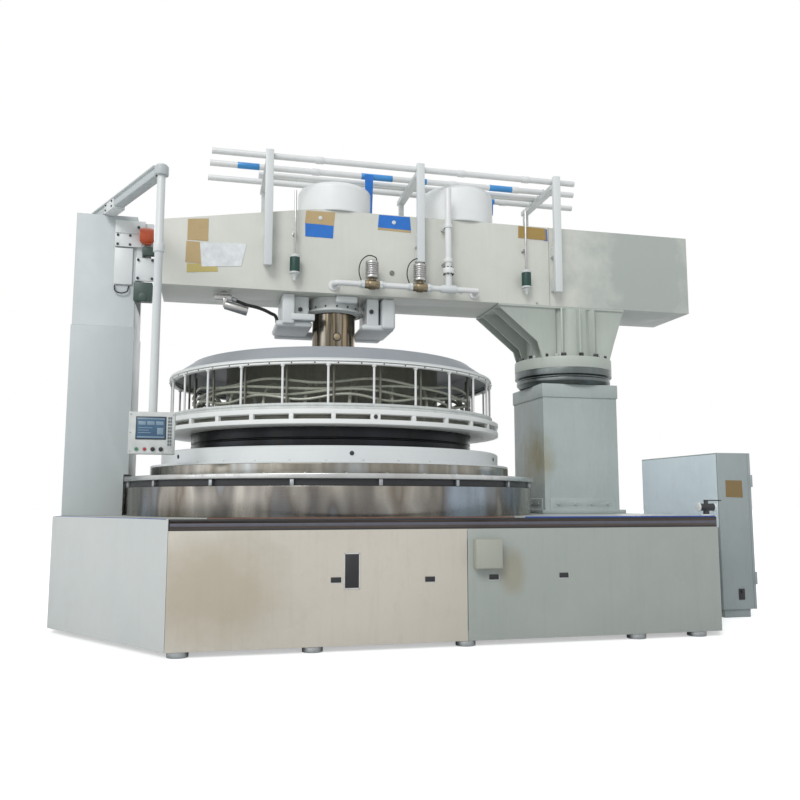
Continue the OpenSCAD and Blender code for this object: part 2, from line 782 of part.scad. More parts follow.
// A carrier: pin slots round its rim and holes for the workpieces
module carrier(i) {
    place = i * 360 / carrier_n;
    turn = -place * (ring_teeth / carrier_teeth - 1);
    tip = carrier_pitch_r + tooth_tip_h;
    slot = pin_r + slot_clear;
    color("goldenrod") rotate([0, 0, place]) translate([orbit_r, 0, work_z + gap]) rotate([0, 0, turn - place])
        linear_extrude(carrier_t) difference() {
            circle(r = tip);
            for (k = [0 : carrier_teeth - 1]) rotate([0, 0, k * 360 / carrier_teeth]) translate([carrier_pitch_r, 0]) {
                circle(r = slot, $fn = 24);
                polygon([[0, -slot], [2 * tooth_tip_h, -slot - slot_clear], [2 * tooth_tip_h, slot + slot_clear], [0, slot]]);
            }
            for (k = [0 : work_n - 1]) rotate([0, 0, k * 360 / work_n]) translate([(carrier_pitch_r + pin_r) / 1.7, 0]) circle(r = work_r);
            circle(r = work_r / 2);
        }
}

module beam() {
    y0 = -beam_w / 2;
    x0 = -beam_left;
    side = [
        [x0, beam_z], [beam_right, beam_z], [beam_right, beam_top_z], [-200, beam_top_z],
        [x0, beam_z + beam_end_h]
    ];
    inner = inset(side, beam_wall);
    color("gainsboro") difference() {
        translate([0, beam_w / 2, 0]) rotate([90, 0, 0]) linear_extrude(beam_w) polygon(side);
        translate([0, beam_w / 2 - beam_wall, 0]) rotate([90, 0, 0]) linear_extrude(beam_w - 2 * beam_wall) polygon(inner);
        translate([0, 0, beam_z - over]) cylinder(r = tube_r + loose, h = beam_wall + 2 * over);
        for (s = [-1, 1]) translate([s * cylinder_x, 0, beam_z - over]) cylinder(r = cylinder_r, h = beam_wall + 2 * over);
        translate([0, 0, beam_top_z - beam_wall - over]) cylinder(r = dome_r - 80, h = beam_wall + 2 * over);
        translate([right_dome_x, 0, beam_top_z - beam_wall - over]) cylinder(r = dome_r - 80, h = beam_wall + 2 * over);
        translate([x0 - over, lock_y, lock_z]) rotate([0, 90, 0]) cylinder(r = lock_r + 1, h = beam_wall + 2 * over);
    }
    // Cross plates that stiffen the box
    color("gainsboro") for (x = [-700, 620, 1450, 2450])
        block([beam_wall, beam_w - 2 * beam_wall, beam_end_h - 2 * beam_wall - 20], [x, 0, beam_z + beam_wall]);
}

module slew_neck() {
    rib_t = 14;
    wing_left = 673;
    wing_right = 434;
    wing_h = beam_z - neck_z;
    bore = slew_r / 2 - 25;
    color("gainsboro") translate([swing_x, 0, 0]) {
        difference() {
            union() {
                translate([0, 0, flange_z]) cylinder(r = slew_r, h = flange_h);
                translate([0, 0, neck_z]) cylinder(r = neck_r - 40, h = wing_h - 16);
                block([wing_left + wing_right, beam_w, 16], [(wing_right - wing_left) / 2, 0, beam_z - 16 - gap]);
            }
            translate([0, 0, flange_z - over]) cylinder(r = bore, h = flange_h + wing_h + 2 * over);
        }
        translate([0, 0, flange_z - 60]) ring(slew_r / 2 - run, bore, 61);
        for (y = [-beam_w / 2 + 20, -130, 130, beam_w / 2 - 20]) translate([0, y, 0]) rotate([90, 0, 0]) translate([0, 0, -rib_t / 2])
            linear_extrude(rib_t) difference() {
                polygon([
                    [-wing_left, beam_z - 16 - gap], [-neck_r, neck_z + 130], [-neck_r + 40, neck_z],
                    [neck_r - 40, neck_z], [neck_r, neck_z + 130], [wing_right, beam_z - 16 - gap]
                ]);
                square([2 * bore, 9000], center = true);
            }
        for (a = [-62 : 31 : 62], s = [0, 180]) rotate([0, 0, a - 90 + s]) translate([slew_r - 35, 0, neck_z]) cylinder(r = 17, h = 26, $fn = 6);
        for (a = [-24, 0, 24], s = [0, 180]) rotate([0, 0, a - 90 + s]) translate([neck_r - 42, -rib_t / 2, neck_z + 2]) cube([58, rib_t, wing_h - 20]);
    }
}

module dome(r, h) {
    wall = 10;
    round_r = 40;
    rotate_extrude() polygon([
        [r - wall, 0], [r, 0], [r, h - round_r], [r - round_r / 3, h - round_r / 3], [r - round_r, h],
        [0, h], [0, h - wall], [r - round_r, h - wall], [r - wall, h - round_r]
    ]);
}

module dome_covers() {
    color("whitesmoke") {
        translate([0, 0, beam_top_z]) dome(dome_r, dome_h);
        translate([right_dome_x, 0, beam_top_z]) dome(dome_r, right_dome_h);
    }
}

module hanger_plate() {
    clear = loose;
    color("whitesmoke") difference() {
        union() {
            for (s = [-1, 1]) translate([s * hanger_half, 0, hanger_z]) cylinder(r = hanger_r, h = hanger_t);
            block([2 * hanger_half, 2 * hanger_r, hanger_t], [0, 0, hanger_z]);
            for (s = [-1, 1], t = [-1, 1])
                block([hanger_post_w, 60, beam_z - hanger_z - hanger_t - gap], [s * (hanger_half + 130), t * 150, hanger_z + hanger_t]);
            translate([0, 0, hanger_z + hanger_t]) cylinder(r = guide_r, h = guide_h);
        }
        translate([0, 0, hanger_z - over]) cylinder(r = tube_r + run, h = hanger_t + guide_h + 2 * over);
    }
}

module lift_cylinders() {
    low = hanger_z + hanger_t + gap;
    color("steelblue") for (s = [-1, 1]) translate([s * cylinder_x, 0, low]) {
        difference() {
            cylinder(r = cylinder_r, h = cylinder_top_z - low);
            translate([0, 0, 20]) cylinder(r = rod_r + run, h = cylinder_top_z - low);
        }
    }
}

module lift_tube() {
    low = cover_top_z + gap;
    color("silver") difference() {
        translate([0, 0, low]) cylinder(r = tube_r, h = tube_end_z - low);
        translate([0, 0, low - over]) cylinder(r = stub_r + run, h = 70);
        translate([0, -tube_r - over, hanger_z - 37]) rotate([-90, 0, 0]) cylinder(r = 30, h = 40);
    }
    color("silver") {
        difference() {
            block([2 * cylinder_x + 120, 160, crosshead_t], [0, 0, crosshead_z]);
            translate([0, 0, crosshead_z - over]) cylinder(r = tube_r - 1, h = crosshead_t + 2 * over);
        }
        for (s = [-1, 1]) translate([s * cylinder_x, 0, hanger_z + hanger_t + 60]) cylinder(r = rod_r, h = crosshead_z - hanger_z - hanger_t - 60);
    }
}

module upper_motor() {
    color("slategray") translate([0, 0, tube_end_z]) cylinder(r = upper_motor_r, h = upper_motor_h);
    color("slategray") for (k = [1 : 5]) translate([0, 0, tube_end_z + 40 * k]) cylinder(r = upper_motor_r + 10, h = 8);
}

module upper_cover() {
    color("slategray") rotate_extrude() polygon([
        [cage_r - 8, cage_top_z], [cover_top_r, cover_top_z - 12], [cover_top_r - 12, cover_top_z],
        [stub_r, cover_top_z], [stub_r, cover_top_z - cone_wall],
        [cover_top_r - 20, cover_top_z - cone_wall], [cage_r - 30, cage_top_z]
    ]);
}

module cage_frame() {
    inner_r = cage_r - 150;
    color("white") {
        translate([0, 0, cage_top_z - cage_rail]) ring(cage_r, cage_r - 40, cage_rail);
        on_circle(post_n, cage_r - 14, -86) translate([0, 0, cage_z]) cylinder(r = cage_post_r, h = cage_h - cage_rail, $fn = 24);
        on_circle(inner_post_n, inner_r, -82) translate([0, 0, cage_z]) cylinder(r = cage_post_r, h = cage_h + 70, $fn = 24);
    }
}

// Drum, hub and spokes that hang the plate from the spindle
module plate_hub() {
    low = upper_plate_z + upper_plate_t;
    top = cover_top_z - cone_wall;
    wall = 15;
    color("slategray") {
        rotate_extrude() polygon([
            [hub_r - wall, low], [hub_r, low], [hub_r, top], [stub_r, top], [stub_r, cover_top_z + 55],
            [0, cover_top_z + 55], [0, top - wall], [hub_r - wall, top - wall]
        ]);
        on_circle(spoke_n, hub_r + over, 180 / spoke_n) translate([0, -spoke_t / 2, low])
            cube([plate_r - hub_r - 2 * over, spoke_t, cage_h / 2]);
    }
}

module slotted_ring() {
    arc = 360 / slot_n * slot_share;
    color("white") difference() {
        translate([0, 0, slot_ring_z]) ring(slot_ring_r, plate_r + 4, slot_ring_h);
        translate([0, 0, slot_ring_z + 18]) ring(slot_ring_r - ring_wall, plate_r + 4 + ring_wall, slot_ring_h - 36);
        for (k = [0 : slot_n - 1]) rotate([0, 0, -86 + (k + 0.5) * 360 / slot_n - arc / 2])
            translate([0, 0, slot_ring_z + (slot_ring_h - slot_h) / 2]) rotate_extrude(angle = arc)
                translate([slot_ring_r - ring_wall - over, 0]) square([ring_wall + 2 * over, slot_h]);
    }
    color("white") translate([0, 0, slot_ring_z]) ring(plate_r + 4, plate_r, slot_ring_h / 4);
}

module upper_plate() {
    color("dimgray") translate([0, 0, upper_plate_z]) ring(plate_r, plate_bore_r, upper_plate_t);
}

// Slurry hoses loop from the trough down into the plate
module slurry_hoses() {
    r0 = 700;
    r1 = plate_r - 60;
    bend = 75;
    foot = upper_plate_z + upper_plate_t;
    color("whitesmoke") on_circle(hose_n, 0) {
        for (r = [r1 - 2 * bend, r1]) translate([r, 0, foot]) cylinder(r = hose_r, h = hose_rise, $fn = 24);
        translate([r1 - bend, 0, foot + hose_rise]) rotate([90, 0, 0]) rotate_extrude(angle = 180) translate([bend, 0]) circle(r = hose_r, $fn = 24);
    }
}

module pipe_posts() {
    face_y = -beam_w / 2;
    front_y = pipe_ys[0] - pipe_r - gap - post_front;
    arm_h = 40;
    arm_z = pipe_z - pipe_r - gap - arm_h;
    rear_y = 300;
    color("white") for (k = [0 : 2], x = rack_xs[k]) {
        block([rack_post_w, post_front, pipe_z + 30 - rack_foot_zs[k]], [x, front_y + post_front / 2, rack_foot_zs[k]]);
        translate([x - rack_post_w / 2, front_y + post_front - 1, arm_z]) cube([rack_post_w, rear_y - front_y, arm_h]);
        block([rack_post_w - 20, rack_post_w - 20, arm_z - beam_top_z + 1], [x, rear_y, beam_top_z]);
        for (z = [rack_foot_zs[k] + 20, beam_z + beam_end_h - 90])
            translate([x - rack_post_w / 2, front_y + post_front - 1, z]) cube([rack_post_w, face_y - front_y - post_front + 1, 90]);
    }
}

module pipe_rack() {
    mouth = 200;
    thin_r = pipe_r - 6;
    color("whitesmoke") {
        for (k = [0 : 2]) difference() {
            rod([pipe_lefts[k], pipe_ys[k], pipe_z], [pipe_rights[k], pipe_ys[k], pipe_z], pipe_r);
            translate([pipe_lefts[k] - over, pipe_ys[k], pipe_z]) rotate([0, 90, 0]) cylinder(r = pipe_r - 5, h = mouth + over);
        }
        for (y = [25, 80]) rod([rack_xs[0] - 60, y, pipe_z - pipe_r + thin_r], [rack_xs[2] + 60, y, pipe_z - pipe_r + thin_r], thin_r);
    }
}

module feed_line() {
    y0 = -beam_w / 2;
    r = 22;
    color("whitesmoke") {
        rod([feed_left, feed_y, feed_z], [feed_right, feed_y, feed_z], r);
        for (x = [feed_left, feed_right]) rod([x, y0, feed_z], [x, feed_y - r, feed_z], r);
        rod([drop_x, feed_y, feed_z], [drop_x, feed_y, 3325], 26);
        for (z = [2700, 3000]) block([70, y0 - feed_y, 30], [drop_x, (feed_y + y0) / 2, z]);
    }
    color("darkkhaki") for (x = valve_xs) {
        rod([x - 50, feed_y, feed_z], [x + 50, feed_y, feed_z], 38);
        translate([x, feed_y, feed_z]) cylinder(r = 30, h = 50);
    }
    color("silver") for (x = valve_xs) translate([x, feed_y, feed_z + 50]) cylinder(r = 42, h = 140);
}

module sight_canisters() {
    off = 60;
    y0 = -beam_w / 2 - off;
    color("darkgreen") for (x = canister_xs) translate([x, y0, canister_z]) cylinder(r = canister_r, h = canister_h);
    color("silver") for (x = canister_xs) {
        translate([x, y0, canister_z - 40]) cylinder(r1 = 12, r2 = 26, h = 40);
        translate([x, y0, canister_z + canister_h]) cylinder(r = 9, h = 3220 - canister_z - canister_h);
        for (z = [canister_z + canister_h / 2, beam_z + beam_end_h - 60]) block([24, off, 20], [x, y0 + off / 2, z]);
    }
}

// Hose route under the beam, points chosen by hand
hose_route = [
    [-800, -150, 2395], [-770, -150, 2375], [-700, -150, 2350], [-620, -148, 2335],
    [-560, -140, 2318], [-520, -120, 2290], [-496, -100, 2262], [-490, -90, 2236]
];
module hydraulic_hose() {
    r = 14;
    sides = 10;
    n = len(hose_route);
    dirs = [for (i = [0 : n - 1]) unit(hose_route[min(i + 1, n - 1)] - hose_route[max(i - 1, 0)])];
    rings = [for (i = [0 : n - 1]) let (d = dirs[i], s = unit(cross(d, [0, 1, 0])), t = cross(d, s))
        for (k = [0 : sides - 1]) hose_route[i] + r * (cos(k * 360 / sides) * s + sin(k * 360 / sides) * t)];
    color("dimgray") polyhedron(
        points = rings,
        faces = concat(
            [[for (k = [0 : sides - 1]) k]],
            [for (i = [0 : n - 2], k = [0 : sides - 1]) each [
                [i * sides + k, (i + 1) * sides + k, (i + 1) * sides + (k + 1) % sides],
                [i * sides + k, (i + 1) * sides + (k + 1) % sides, i * sides + (k + 1) % sides]
            ]],
            [[for (k = [sides - 1 : -1 : 0]) (n - 1) * sides + k]]
        )
    );
    color("gray") {
        block([150, 70, 50], [-870, -150, 2370]);
        block([30, 60, beam_z - 2420 - gap], [-870, -150, 2420]);
    }
}

// Angle and length of the panel's arm
arm_dx = arm_x - pendant_x;
arm_turn = atan2(-pendant_y, arm_dx);
arm_len = norm([arm_dx, pendant_y]);
arm_z = column_z + gap;
module hmi_arm() {
    color("lightgray") translate([-arm_x, 0, 0]) {
        difference() {
            union() {
                translate([0, 0, arm_z]) cylinder(r = hinge_r, h = arm_h);
                rotate([0, 0, arm_turn]) translate([0, -arm_w / 2, arm_z]) cube([arm_len, arm_w, arm_h]);
                rotate([0, 0, arm_turn]) translate([arm_len, 0, arm_z]) cylinder(r = hinge_r, h = arm_h);
            }
            rotate([0, 0, arm_turn]) translate([arm_len, 0, arm_z - over]) cylinder(r = pole_r - 6 + run, h = arm_h + 2 * over);
        }
        translate([0, 0, column_z - 55]) cylinder(r = hinge_r / 2, h = 60);
    }
}

module hmi_pendant() {
    top = arm_z + arm_h;
    socket_z = 2430;
    color("lightgray") translate([-pendant_x, -pendant_y, 0]) {
        translate([0, 0, panel_z + panel_h]) cylinder(r = pole_r, h = arm_z - gap - panel_z - panel_h);
        translate([0, 0, socket_z]) cylinder(r = pole_r + 9, h = 60);
        translate([0, 0, arm_z - 2]) cylinder(r = pole_r - 6, h = arm_h + 2);
        translate([0, 0, top + gap]) cylinder(r = pole_r + 8, h = 12);
        translate([0, 0, top - 2]) cylinder(r = pole_r - 6, h = 4);
    }
}

module hmi_panel() {
    wall = 5;
    color("white") difference() {
        translate([-pendant_x - panel_w / 2, -pendant_y - panel_d / 2, panel_z]) cube([panel_w, panel_d, panel_h]);
        translate([-pendant_x - panel_w / 2 + wall, -pendant_y - panel_d / 2 + wall, panel_z + wall]) cube([panel_w - 2 * wall, panel_d - 2 * wall, panel_h - 2 * wall]);
        for (i = [0 : 3]) translate([-pendant_x - panel_w / 2 + 50 + i * 48, -pendant_y - panel_d / 2 - over, panel_z + panel_knob_z])
            rotate([-90, 0, 0]) cylinder(r = panel_knob_r + run, h = wall + 2 * over);
    }
    color("midnightblue") translate([-pendant_x - panel_w / 2 + 40, -pendant_y - panel_d / 2 - 2, panel_z + 90]) cube([screen_w, 2, screen_h]);
}

// Centre of a control on the panel's front
function control_at(i) = [-pendant_x - panel_w / 2 + 50 + i * 48, -pendant_y - panel_d / 2, panel_z + panel_knob_z];

module push_button(i) {
    translate(control_at(i)) {
        rotate([-90, 0, 0]) cylinder(r = panel_knob_r, h = 5 + gap + over);
        rotate([90, 0, 0]) cylinder(r = panel_knob_r, h = 9);
        translate([0, 5 + gap, 0]) rotate([-90, 0, 0]) cylinder(r = panel_knob_r + 4, h = 6);
    }
}

module selector(i) {
    translate(control_at(i)) {
        rotate([-90, 0, 0]) cylinder(r = panel_knob_r, h = 5);
        translate([0, -gap, 0]) rotate([90, 0, 0]) cylinder(r = panel_knob_r + 4, h = 10);
        translate([-3, -20, -panel_knob_r]) cube([6, 12, 2 * panel_knob_r]);
        translate([0, -gap, 0]) rotate([-90, 0, 0]) cylinder(r = panel_knob_r, h = 3);
        translate([0, 5 + gap, 0]) rotate([-90, 0, 0]) cylinder(r = panel_knob_r + 4, h = 6);
        translate([0, 4, 0]) rotate([-90, 0, 0]) cylinder(r = panel_knob_r, h = 3);
    }
}

placed() base_frame();
placed() levelling_feet();
placed() front_cover_left();
placed() front_cover_right();
placed() side_covers();
placed() cover_fittings();
placed() junction_box();
placed() deck_trim();
placed() basin();
placed() guard_ring();
placed() left_column();
placed() latch_housing();
placed() lock_cylinder();
placed() lock_bolt();
placed() pedestal();
placed() slew_ring();
placed() cabinet();
placed() cabinet_door();
placed() cabinet_handle();
placed() drain_valve();
placed() drain_lever();
placed() spindle_housing();
placed() bearings();
placed() drive_motors();
placed() lower_plate();
placed() lower_spindle();
placed() lower_pinion();
placed() sun_gear();
placed() ring_gear();
placed() ring_pinion();
placed() carrier(0);  // carrier_1
placed() carrier(1);  // carrier_2
placed() carrier(2);  // carrier_3
placed() carrier(3);  // carrier_4
placed() carrier(4);  // carrier_5
placed() beam();
placed() slew_neck();
placed() dome_covers();
placed() hanger_plate();
placed() lift_cylinders();
placed() pipe_posts();
placed() pipe_rack();
placed() feed_line();
placed() sight_canisters();
placed() hydraulic_hose();
placed() lift_tube();
placed() upper_motor();
placed() upper_cover();
placed() cage_frame();
placed() plate_hub();
placed() slotted_ring();
placed() upper_plate();
placed() slurry_hoses();
placed() hmi_arm();
placed() hmi_pendant();
placed() hmi_panel();
placed() color("green") push_button(0);  // button_start
placed() color("red") push_button(1);  // button_stop
placed() color("black") selector(2);  // selector_left
placed() color("black") selector(3);  // selector_right
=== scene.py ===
# %% [markdown]
# # A double-side polishing machine
# The real machine stands on a faceted base. A round basin holds the lower plate, a beam swings
# over it on a pedestal, and the beam carries the caged upper plate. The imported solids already
# stand in the right place, so every piece here is drawn around them in metres.

# %% Load the frame
import json
import math

import bmesh
import bpy
from mathutils import Matrix, Vector, noise

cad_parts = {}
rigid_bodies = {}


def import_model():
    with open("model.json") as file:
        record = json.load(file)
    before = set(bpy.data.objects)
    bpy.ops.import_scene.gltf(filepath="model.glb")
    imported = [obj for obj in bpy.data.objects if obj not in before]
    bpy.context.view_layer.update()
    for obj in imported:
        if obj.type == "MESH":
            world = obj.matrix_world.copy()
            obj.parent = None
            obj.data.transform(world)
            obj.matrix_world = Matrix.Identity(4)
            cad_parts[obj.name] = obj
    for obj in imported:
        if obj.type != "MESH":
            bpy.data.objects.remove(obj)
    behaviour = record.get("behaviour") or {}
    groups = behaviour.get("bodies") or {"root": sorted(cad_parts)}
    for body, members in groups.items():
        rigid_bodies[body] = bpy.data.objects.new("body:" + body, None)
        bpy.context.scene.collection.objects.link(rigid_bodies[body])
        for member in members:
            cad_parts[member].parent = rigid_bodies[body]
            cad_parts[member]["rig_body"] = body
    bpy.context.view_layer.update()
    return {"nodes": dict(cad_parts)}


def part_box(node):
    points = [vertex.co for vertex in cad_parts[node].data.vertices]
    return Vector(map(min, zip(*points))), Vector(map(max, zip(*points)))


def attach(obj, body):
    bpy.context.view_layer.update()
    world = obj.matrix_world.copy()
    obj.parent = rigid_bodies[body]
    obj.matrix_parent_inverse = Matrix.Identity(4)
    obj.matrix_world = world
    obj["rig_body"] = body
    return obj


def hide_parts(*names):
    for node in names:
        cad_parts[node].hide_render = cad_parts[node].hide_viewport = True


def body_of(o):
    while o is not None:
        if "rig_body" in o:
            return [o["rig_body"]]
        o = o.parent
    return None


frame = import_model()

# %% [markdown]
# ## Where the machine stands
# All round parts share the plate spindle, so pieces are drawn about it and then moved. The
# spindle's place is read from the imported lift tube, not typed in. Two bodies carry most of the
# pieces, so their names are set once, and so is how far right of the spindle the beam swings.

# %% The spindle and the two main bodies
tube_low, tube_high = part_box("lift_tube")
SPINDLE = Vector(((tube_low[0] + tube_high[0]) / 2, (tube_low[1] + tube_high[1]) / 2, 0))
UPPER = "upper_table"
SWING = "swing_beam"
SWING_X = 1.973

# %% [markdown]
# ## Objects and meshes
# Three steps come back all the time: an object is put in the scene, a bmesh is turned into a
# mesh, and an object with a modifier is baked to a plain mesh.

# %% Object helpers


def placed(name, data):
    obj = bpy.data.objects.new(name, data)
    bpy.context.collection.objects.link(obj)
    return obj


def mesh_of(bm, name):
    mesh = bpy.data.meshes.new(name)
    bm.to_mesh(mesh)
    bm.free()
    return mesh


def baked(obj):
    graph = bpy.context.evaluated_depsgraph_get()
    made = bpy.data.meshes.new_from_object(obj.evaluated_get(graph))
    bpy.data.objects.remove(obj)
    return made


# %% [markdown]
# ## Camera
# The photograph was taken in front of the machine, a little to the left and looking slightly up.
# The lens isn't shifted, so that the other views work too.

# %% Camera
LENS_MM = 36.9
EYE = SPINDLE + Vector((-0.953, -6.42, 0.862))
PAN_DEG, TILT_DEG = 13.16, 6.955
lens = bpy.data.cameras.new("camera")
lens.sensor_width = 36
lens.lens = LENS_MM
lens.clip_end = 200
camera = placed("camera", lens)
camera.location = EYE
camera.rotation_euler = (math.radians(90 + TILT_DEG), 0, -math.radians(PAN_DEG))
bpy.context.scene.camera = camera

# %% [markdown]
# ## Nodes
# The world, the finishes and the rings of parts are all node trees. One helper adds a node and
# fills its inputs: each is a plain value or the output of another node.

# %% Node helpers


def join(tree, node, inputs):
    for key, value in inputs.items():
        socket = node.inputs[key]
        if isinstance(value, bpy.types.NodeSocket):
            tree.links.new(value, socket)
        elif socket.type == "RGBA":
            socket.default_value = (*value, 1)
        else:
            socket.default_value = value


def add_node(tree, kind, inputs, operation=None):
    node = tree.nodes.new(kind)
    if operation:
        node.operation = operation
    join(tree, node, inputs)
    return node


def result(tree, kind, inputs, operation=None, output=0):
    return add_node(tree, kind, inputs, operation).outputs[output]


def math_node(tree, operation, first, second):
    return result(tree, "ShaderNodeMath", {0: first, 1: second}, operation)


def vector_node(tree, operation, inputs, output=0):
    return result(tree, "ShaderNodeVectorMath", inputs, operation, output)


# %% [markdown]
# ## World and light
# A white world keeps the background clean. Camera, mirror and glass rays see it, while the light
# on the machine comes from a softer sky and three wide suns.

# %% World and suns
scene = bpy.context.scene
scene.view_settings.view_transform = "Standard"
world = bpy.data.worlds.new("studio")
scene.world = world
world.use_nodes = True
tree = world.node_tree
tree.nodes.clear()
rays = tree.nodes.new("ShaderNodeLightPath").outputs
direct = math_node(tree, "MAXIMUM", rays["Is Camera Ray"], rays["Is Transmission Ray"])
direct = math_node(tree, "MAXIMUM", direct, rays["Is Glossy Ray"])
sky = result(tree, "ShaderNodeBackground", {"Color": (0.93, 0.96, 1.0), "Strength": 0.5})
seen = result(tree, "ShaderNodeBackground", {"Color": (1, 1, 1), "Strength": 1.0})
chosen = result(tree, "ShaderNodeMixShader", {"Fac": direct, 1: sky, 2: seen})
add_node(tree, "ShaderNodeOutputWorld", {"Surface": chosen})

for name, energy, spot, target, wide_deg in (
        ("key", 1.3, (-5, -9, 9), (0, 0, 1), 25), ("left_fill", 0.65, (-9, -4, 2.5), (0, 0, 1.5), 60),
        ("rear_fill", 0.45, (4, 8, 6), (0, 0, 1), 60)):
    sun = bpy.data.lights.new(name, "SUN")
    sun.energy = energy
    sun.angle = math.radians(wide_deg)
    lamp = placed(name, sun)
    lamp.location = spot
    lamp.rotation_euler = (Vector(target) - Vector(spot)).to_track_quat("-Z", "Y").to_euler()

# %% [markdown]
# ## Finishes
# A machine like this has four families of finish: sprayed enamel, turned or ground steel,
# moulded plastic and paper or film that protects it. Each family is one function that builds a
# node material, so that every piece gets its own colour with the same kind of wear.

# %% Parts of a finish


def fresh_material(name):
    material = bpy.data.materials.new(name)
    material.use_nodes = True
    tree = material.node_tree
    tree.nodes.clear()
    shader = tree.nodes.new("ShaderNodeBsdfPrincipled")
    add_node(tree, "ShaderNodeOutputMaterial", {"Surface": shader.outputs[0]})
    return material, tree, shader


def spot_coords(tree, scale=(1, 1, 1), centre=(0, 0, 0)):
    coords = tree.nodes.new("ShaderNodeTexCoord").outputs["Object"]
    inputs = {"Vector": coords, "Scale": scale, "Location": [-c * s for c, s in zip(centre, scale)]}
    return result(tree, "ShaderNodeMapping", inputs)


def cloud(tree, vector, scale, detail=4, rough=0.6):
    inputs = {"Vector": vector, "Scale": scale, "Detail": detail, "Roughness": rough}
    return result(tree, "ShaderNodeTexNoise", inputs, output="Fac")


def ramp(tree, value, stops):
    node = add_node(tree, "ShaderNodeValToRGB", {"Fac": value})
    band = node.color_ramp
    while len(band.elements) < len(stops):
        band.elements.new(0.5)
    for element, (place, colour) in zip(band.elements, stops):
        element.position = place
        element.color = (*colour, 1)
    return node.outputs["Color"]


def mask(tree, value, low, high):
    return ramp(tree, value, ((low, (0, 0, 0)), (high, (1, 1, 1))))


def mixed(tree, factor, first, second):
    node = tree.nodes.new("ShaderNodeMix")
    node.data_type = "RGBA"
    join(tree, node, {0: factor, 6: first, 7: second})
    return node.outputs[2]


def tinted(tree, tone, where, amount, tint):
    return mixed(tree, math_node(tree, "MULTIPLY", where, amount), tone, tint)


def bumped(tree, shader, value, strength, distance=0.002):
    inputs = {"Height": value, "Strength": strength, "Distance": distance}
    join(tree, shader, {"Normal": result(tree, "ShaderNodeBump", inputs)})


def spread(tree, value, low, high):
    return result(tree, "ShaderNodeMapRange", {"Value": value, "To Min": low, "To Max": high})


def shade(colour, factor):
    return tuple(min(1.0, c * factor) for c in colour)


# %% [markdown]
# ### Enamel
# Sprayed paint on big plates is never one colour. A slow cloud shifts it between two tones,
# long vertical streaks carry dirt down the panel and a fine grain gives the orange peel.

# %% Enamel
DUST = (0.44, 0.40, 0.32)


def enamel(name, colour, second=None, rough=0.42, grime=0.25, streaks=0.2, dark_patch=None, wrinkles=0.0):
    material, tree, shader = fresh_material(name)
    plain = spot_coords(tree)
    tone = ramp(tree, cloud(tree, plain, 1.1, 5), ((0.35, colour), (0.65, second or shade(colour, 0.93))))
    streak = cloud(tree, spot_coords(tree, (7, 7, 0.5)), 3.0, 6, 0.7)
    tone = tinted(tree, tone, mask(tree, streak, 0.5, 0.75), streaks, shade(colour, 0.72))
    tone = tinted(tree, tone, mask(tree, cloud(tree, plain, 14, 8, 0.75), 0.52, 0.8), grime, DUST)
    # Darker tint inside an ellipsoid; on the beam and the pedestal this is painted shade.
    if dark_patch:
        centre, reach, tint, amount = dark_patch
        local = spot_coords(tree, tuple(1 / r for r in reach), [a + b for a, b in zip(SPINDLE, centre)])
        away = vector_node(tree, "LENGTH", {0: local}, "Value")
        away = math_node(tree, "ADD", away, spread(tree, cloud(tree, plain, 4, 5), -0.6, 0.6))
        tone = tinted(tree, tone, ramp(tree, away, ((0.35, (1, 1, 1)), (1.0, (0, 0, 0)))), amount, tint)
    wear = spread(tree, cloud(tree, plain, 9, 4), rough - 0.1, rough + 0.14)
    join(tree, shader, {"Base Color": tone, "Roughness": wear})
    peel = cloud(tree, plain, 260, 2)
    if wrinkles:
        folds = cloud(tree, spot_coords(tree, (5, 5, 1.6)), 2.4, 8, 0.62)
        peel = math_node(tree, "ADD", math_node(tree, "MULTIPLY", folds, 14 * wrinkles), peel)
    bumped(tree, shader, peel, 0.5 if wrinkles else 0.12)
    return material


# %% [markdown]
# ### Turned and ground steel
# A lathe leaves fine rings, so the grain follows the distance from the axis and the height. The
# big wall also mirrors the hall around it: slow bands of pale, blue and brown round the axis
# stand for that, together with oil and water marks.

# %% Turned steel


def round_coords(tree, turn_scale, height_scale, axis):
    local = spot_coords(tree, (1, 1, 1), (SPINDLE.x + axis[0], SPINDLE.y + axis[1], 0))
    x, y, z = add_node(tree, "ShaderNodeSeparateXYZ", {0: local}).outputs
    flat = result(tree, "ShaderNodeCombineXYZ", {0: x, 1: y})
    around = vector_node(tree, "SCALE", {0: vector_node(tree, "NORMALIZE", {0: flat}), "Scale": turn_scale})
    away = math_node(tree, "ADD", vector_node(tree, "LENGTH", {0: flat}, "Value"), z)
    height = result(tree, "ShaderNodeCombineXYZ", {2: math_node(tree, "MULTIPLY", away, height_scale)})
    return vector_node(tree, "ADD", {0: around, 1: height})


def turned(name, stops, rough=0.3, marks=0.3, bands=3.2, axis=(0, 0)):
    material, tree, shader = fresh_material(name)
    tone = ramp(tree, cloud(tree, round_coords(tree, bands, 0.6, axis), 1.0, 3), stops)
    rings = cloud(tree, round_coords(tree, 1.5, 420, axis), 1.0, 3)
    tone = mixed(tree, spread(tree, rings, 0, 0.35), tone, shade(stops[0][1], 0.55))
    spots = mask(tree, cloud(tree, spot_coords(tree, (3, 3, 1.2)), 5, 8, 0.7), 0.5, 0.78)
    tone = tinted(tree, tone, spots, marks, (0.16, 0.12, 0.08))
    wear = spread(tree, rings, rough - 0.06, rough + 0.06)
    wear = math_node(tree, "ADD", wear, spread(tree, spots, 0, 0.22))
    join(tree, shader, {"Base Color": tone, "Metallic": 1.0, "Roughness": wear})
    bumped(tree, shader, rings, 0.12, 0.0005)
    return material


# %% [markdown]
# ### Moulded plastic, rubber, paper and film
# Small parts get a fine leathery grain. Masking paper is fibrous and a little creased.

# %% Plastic and paper


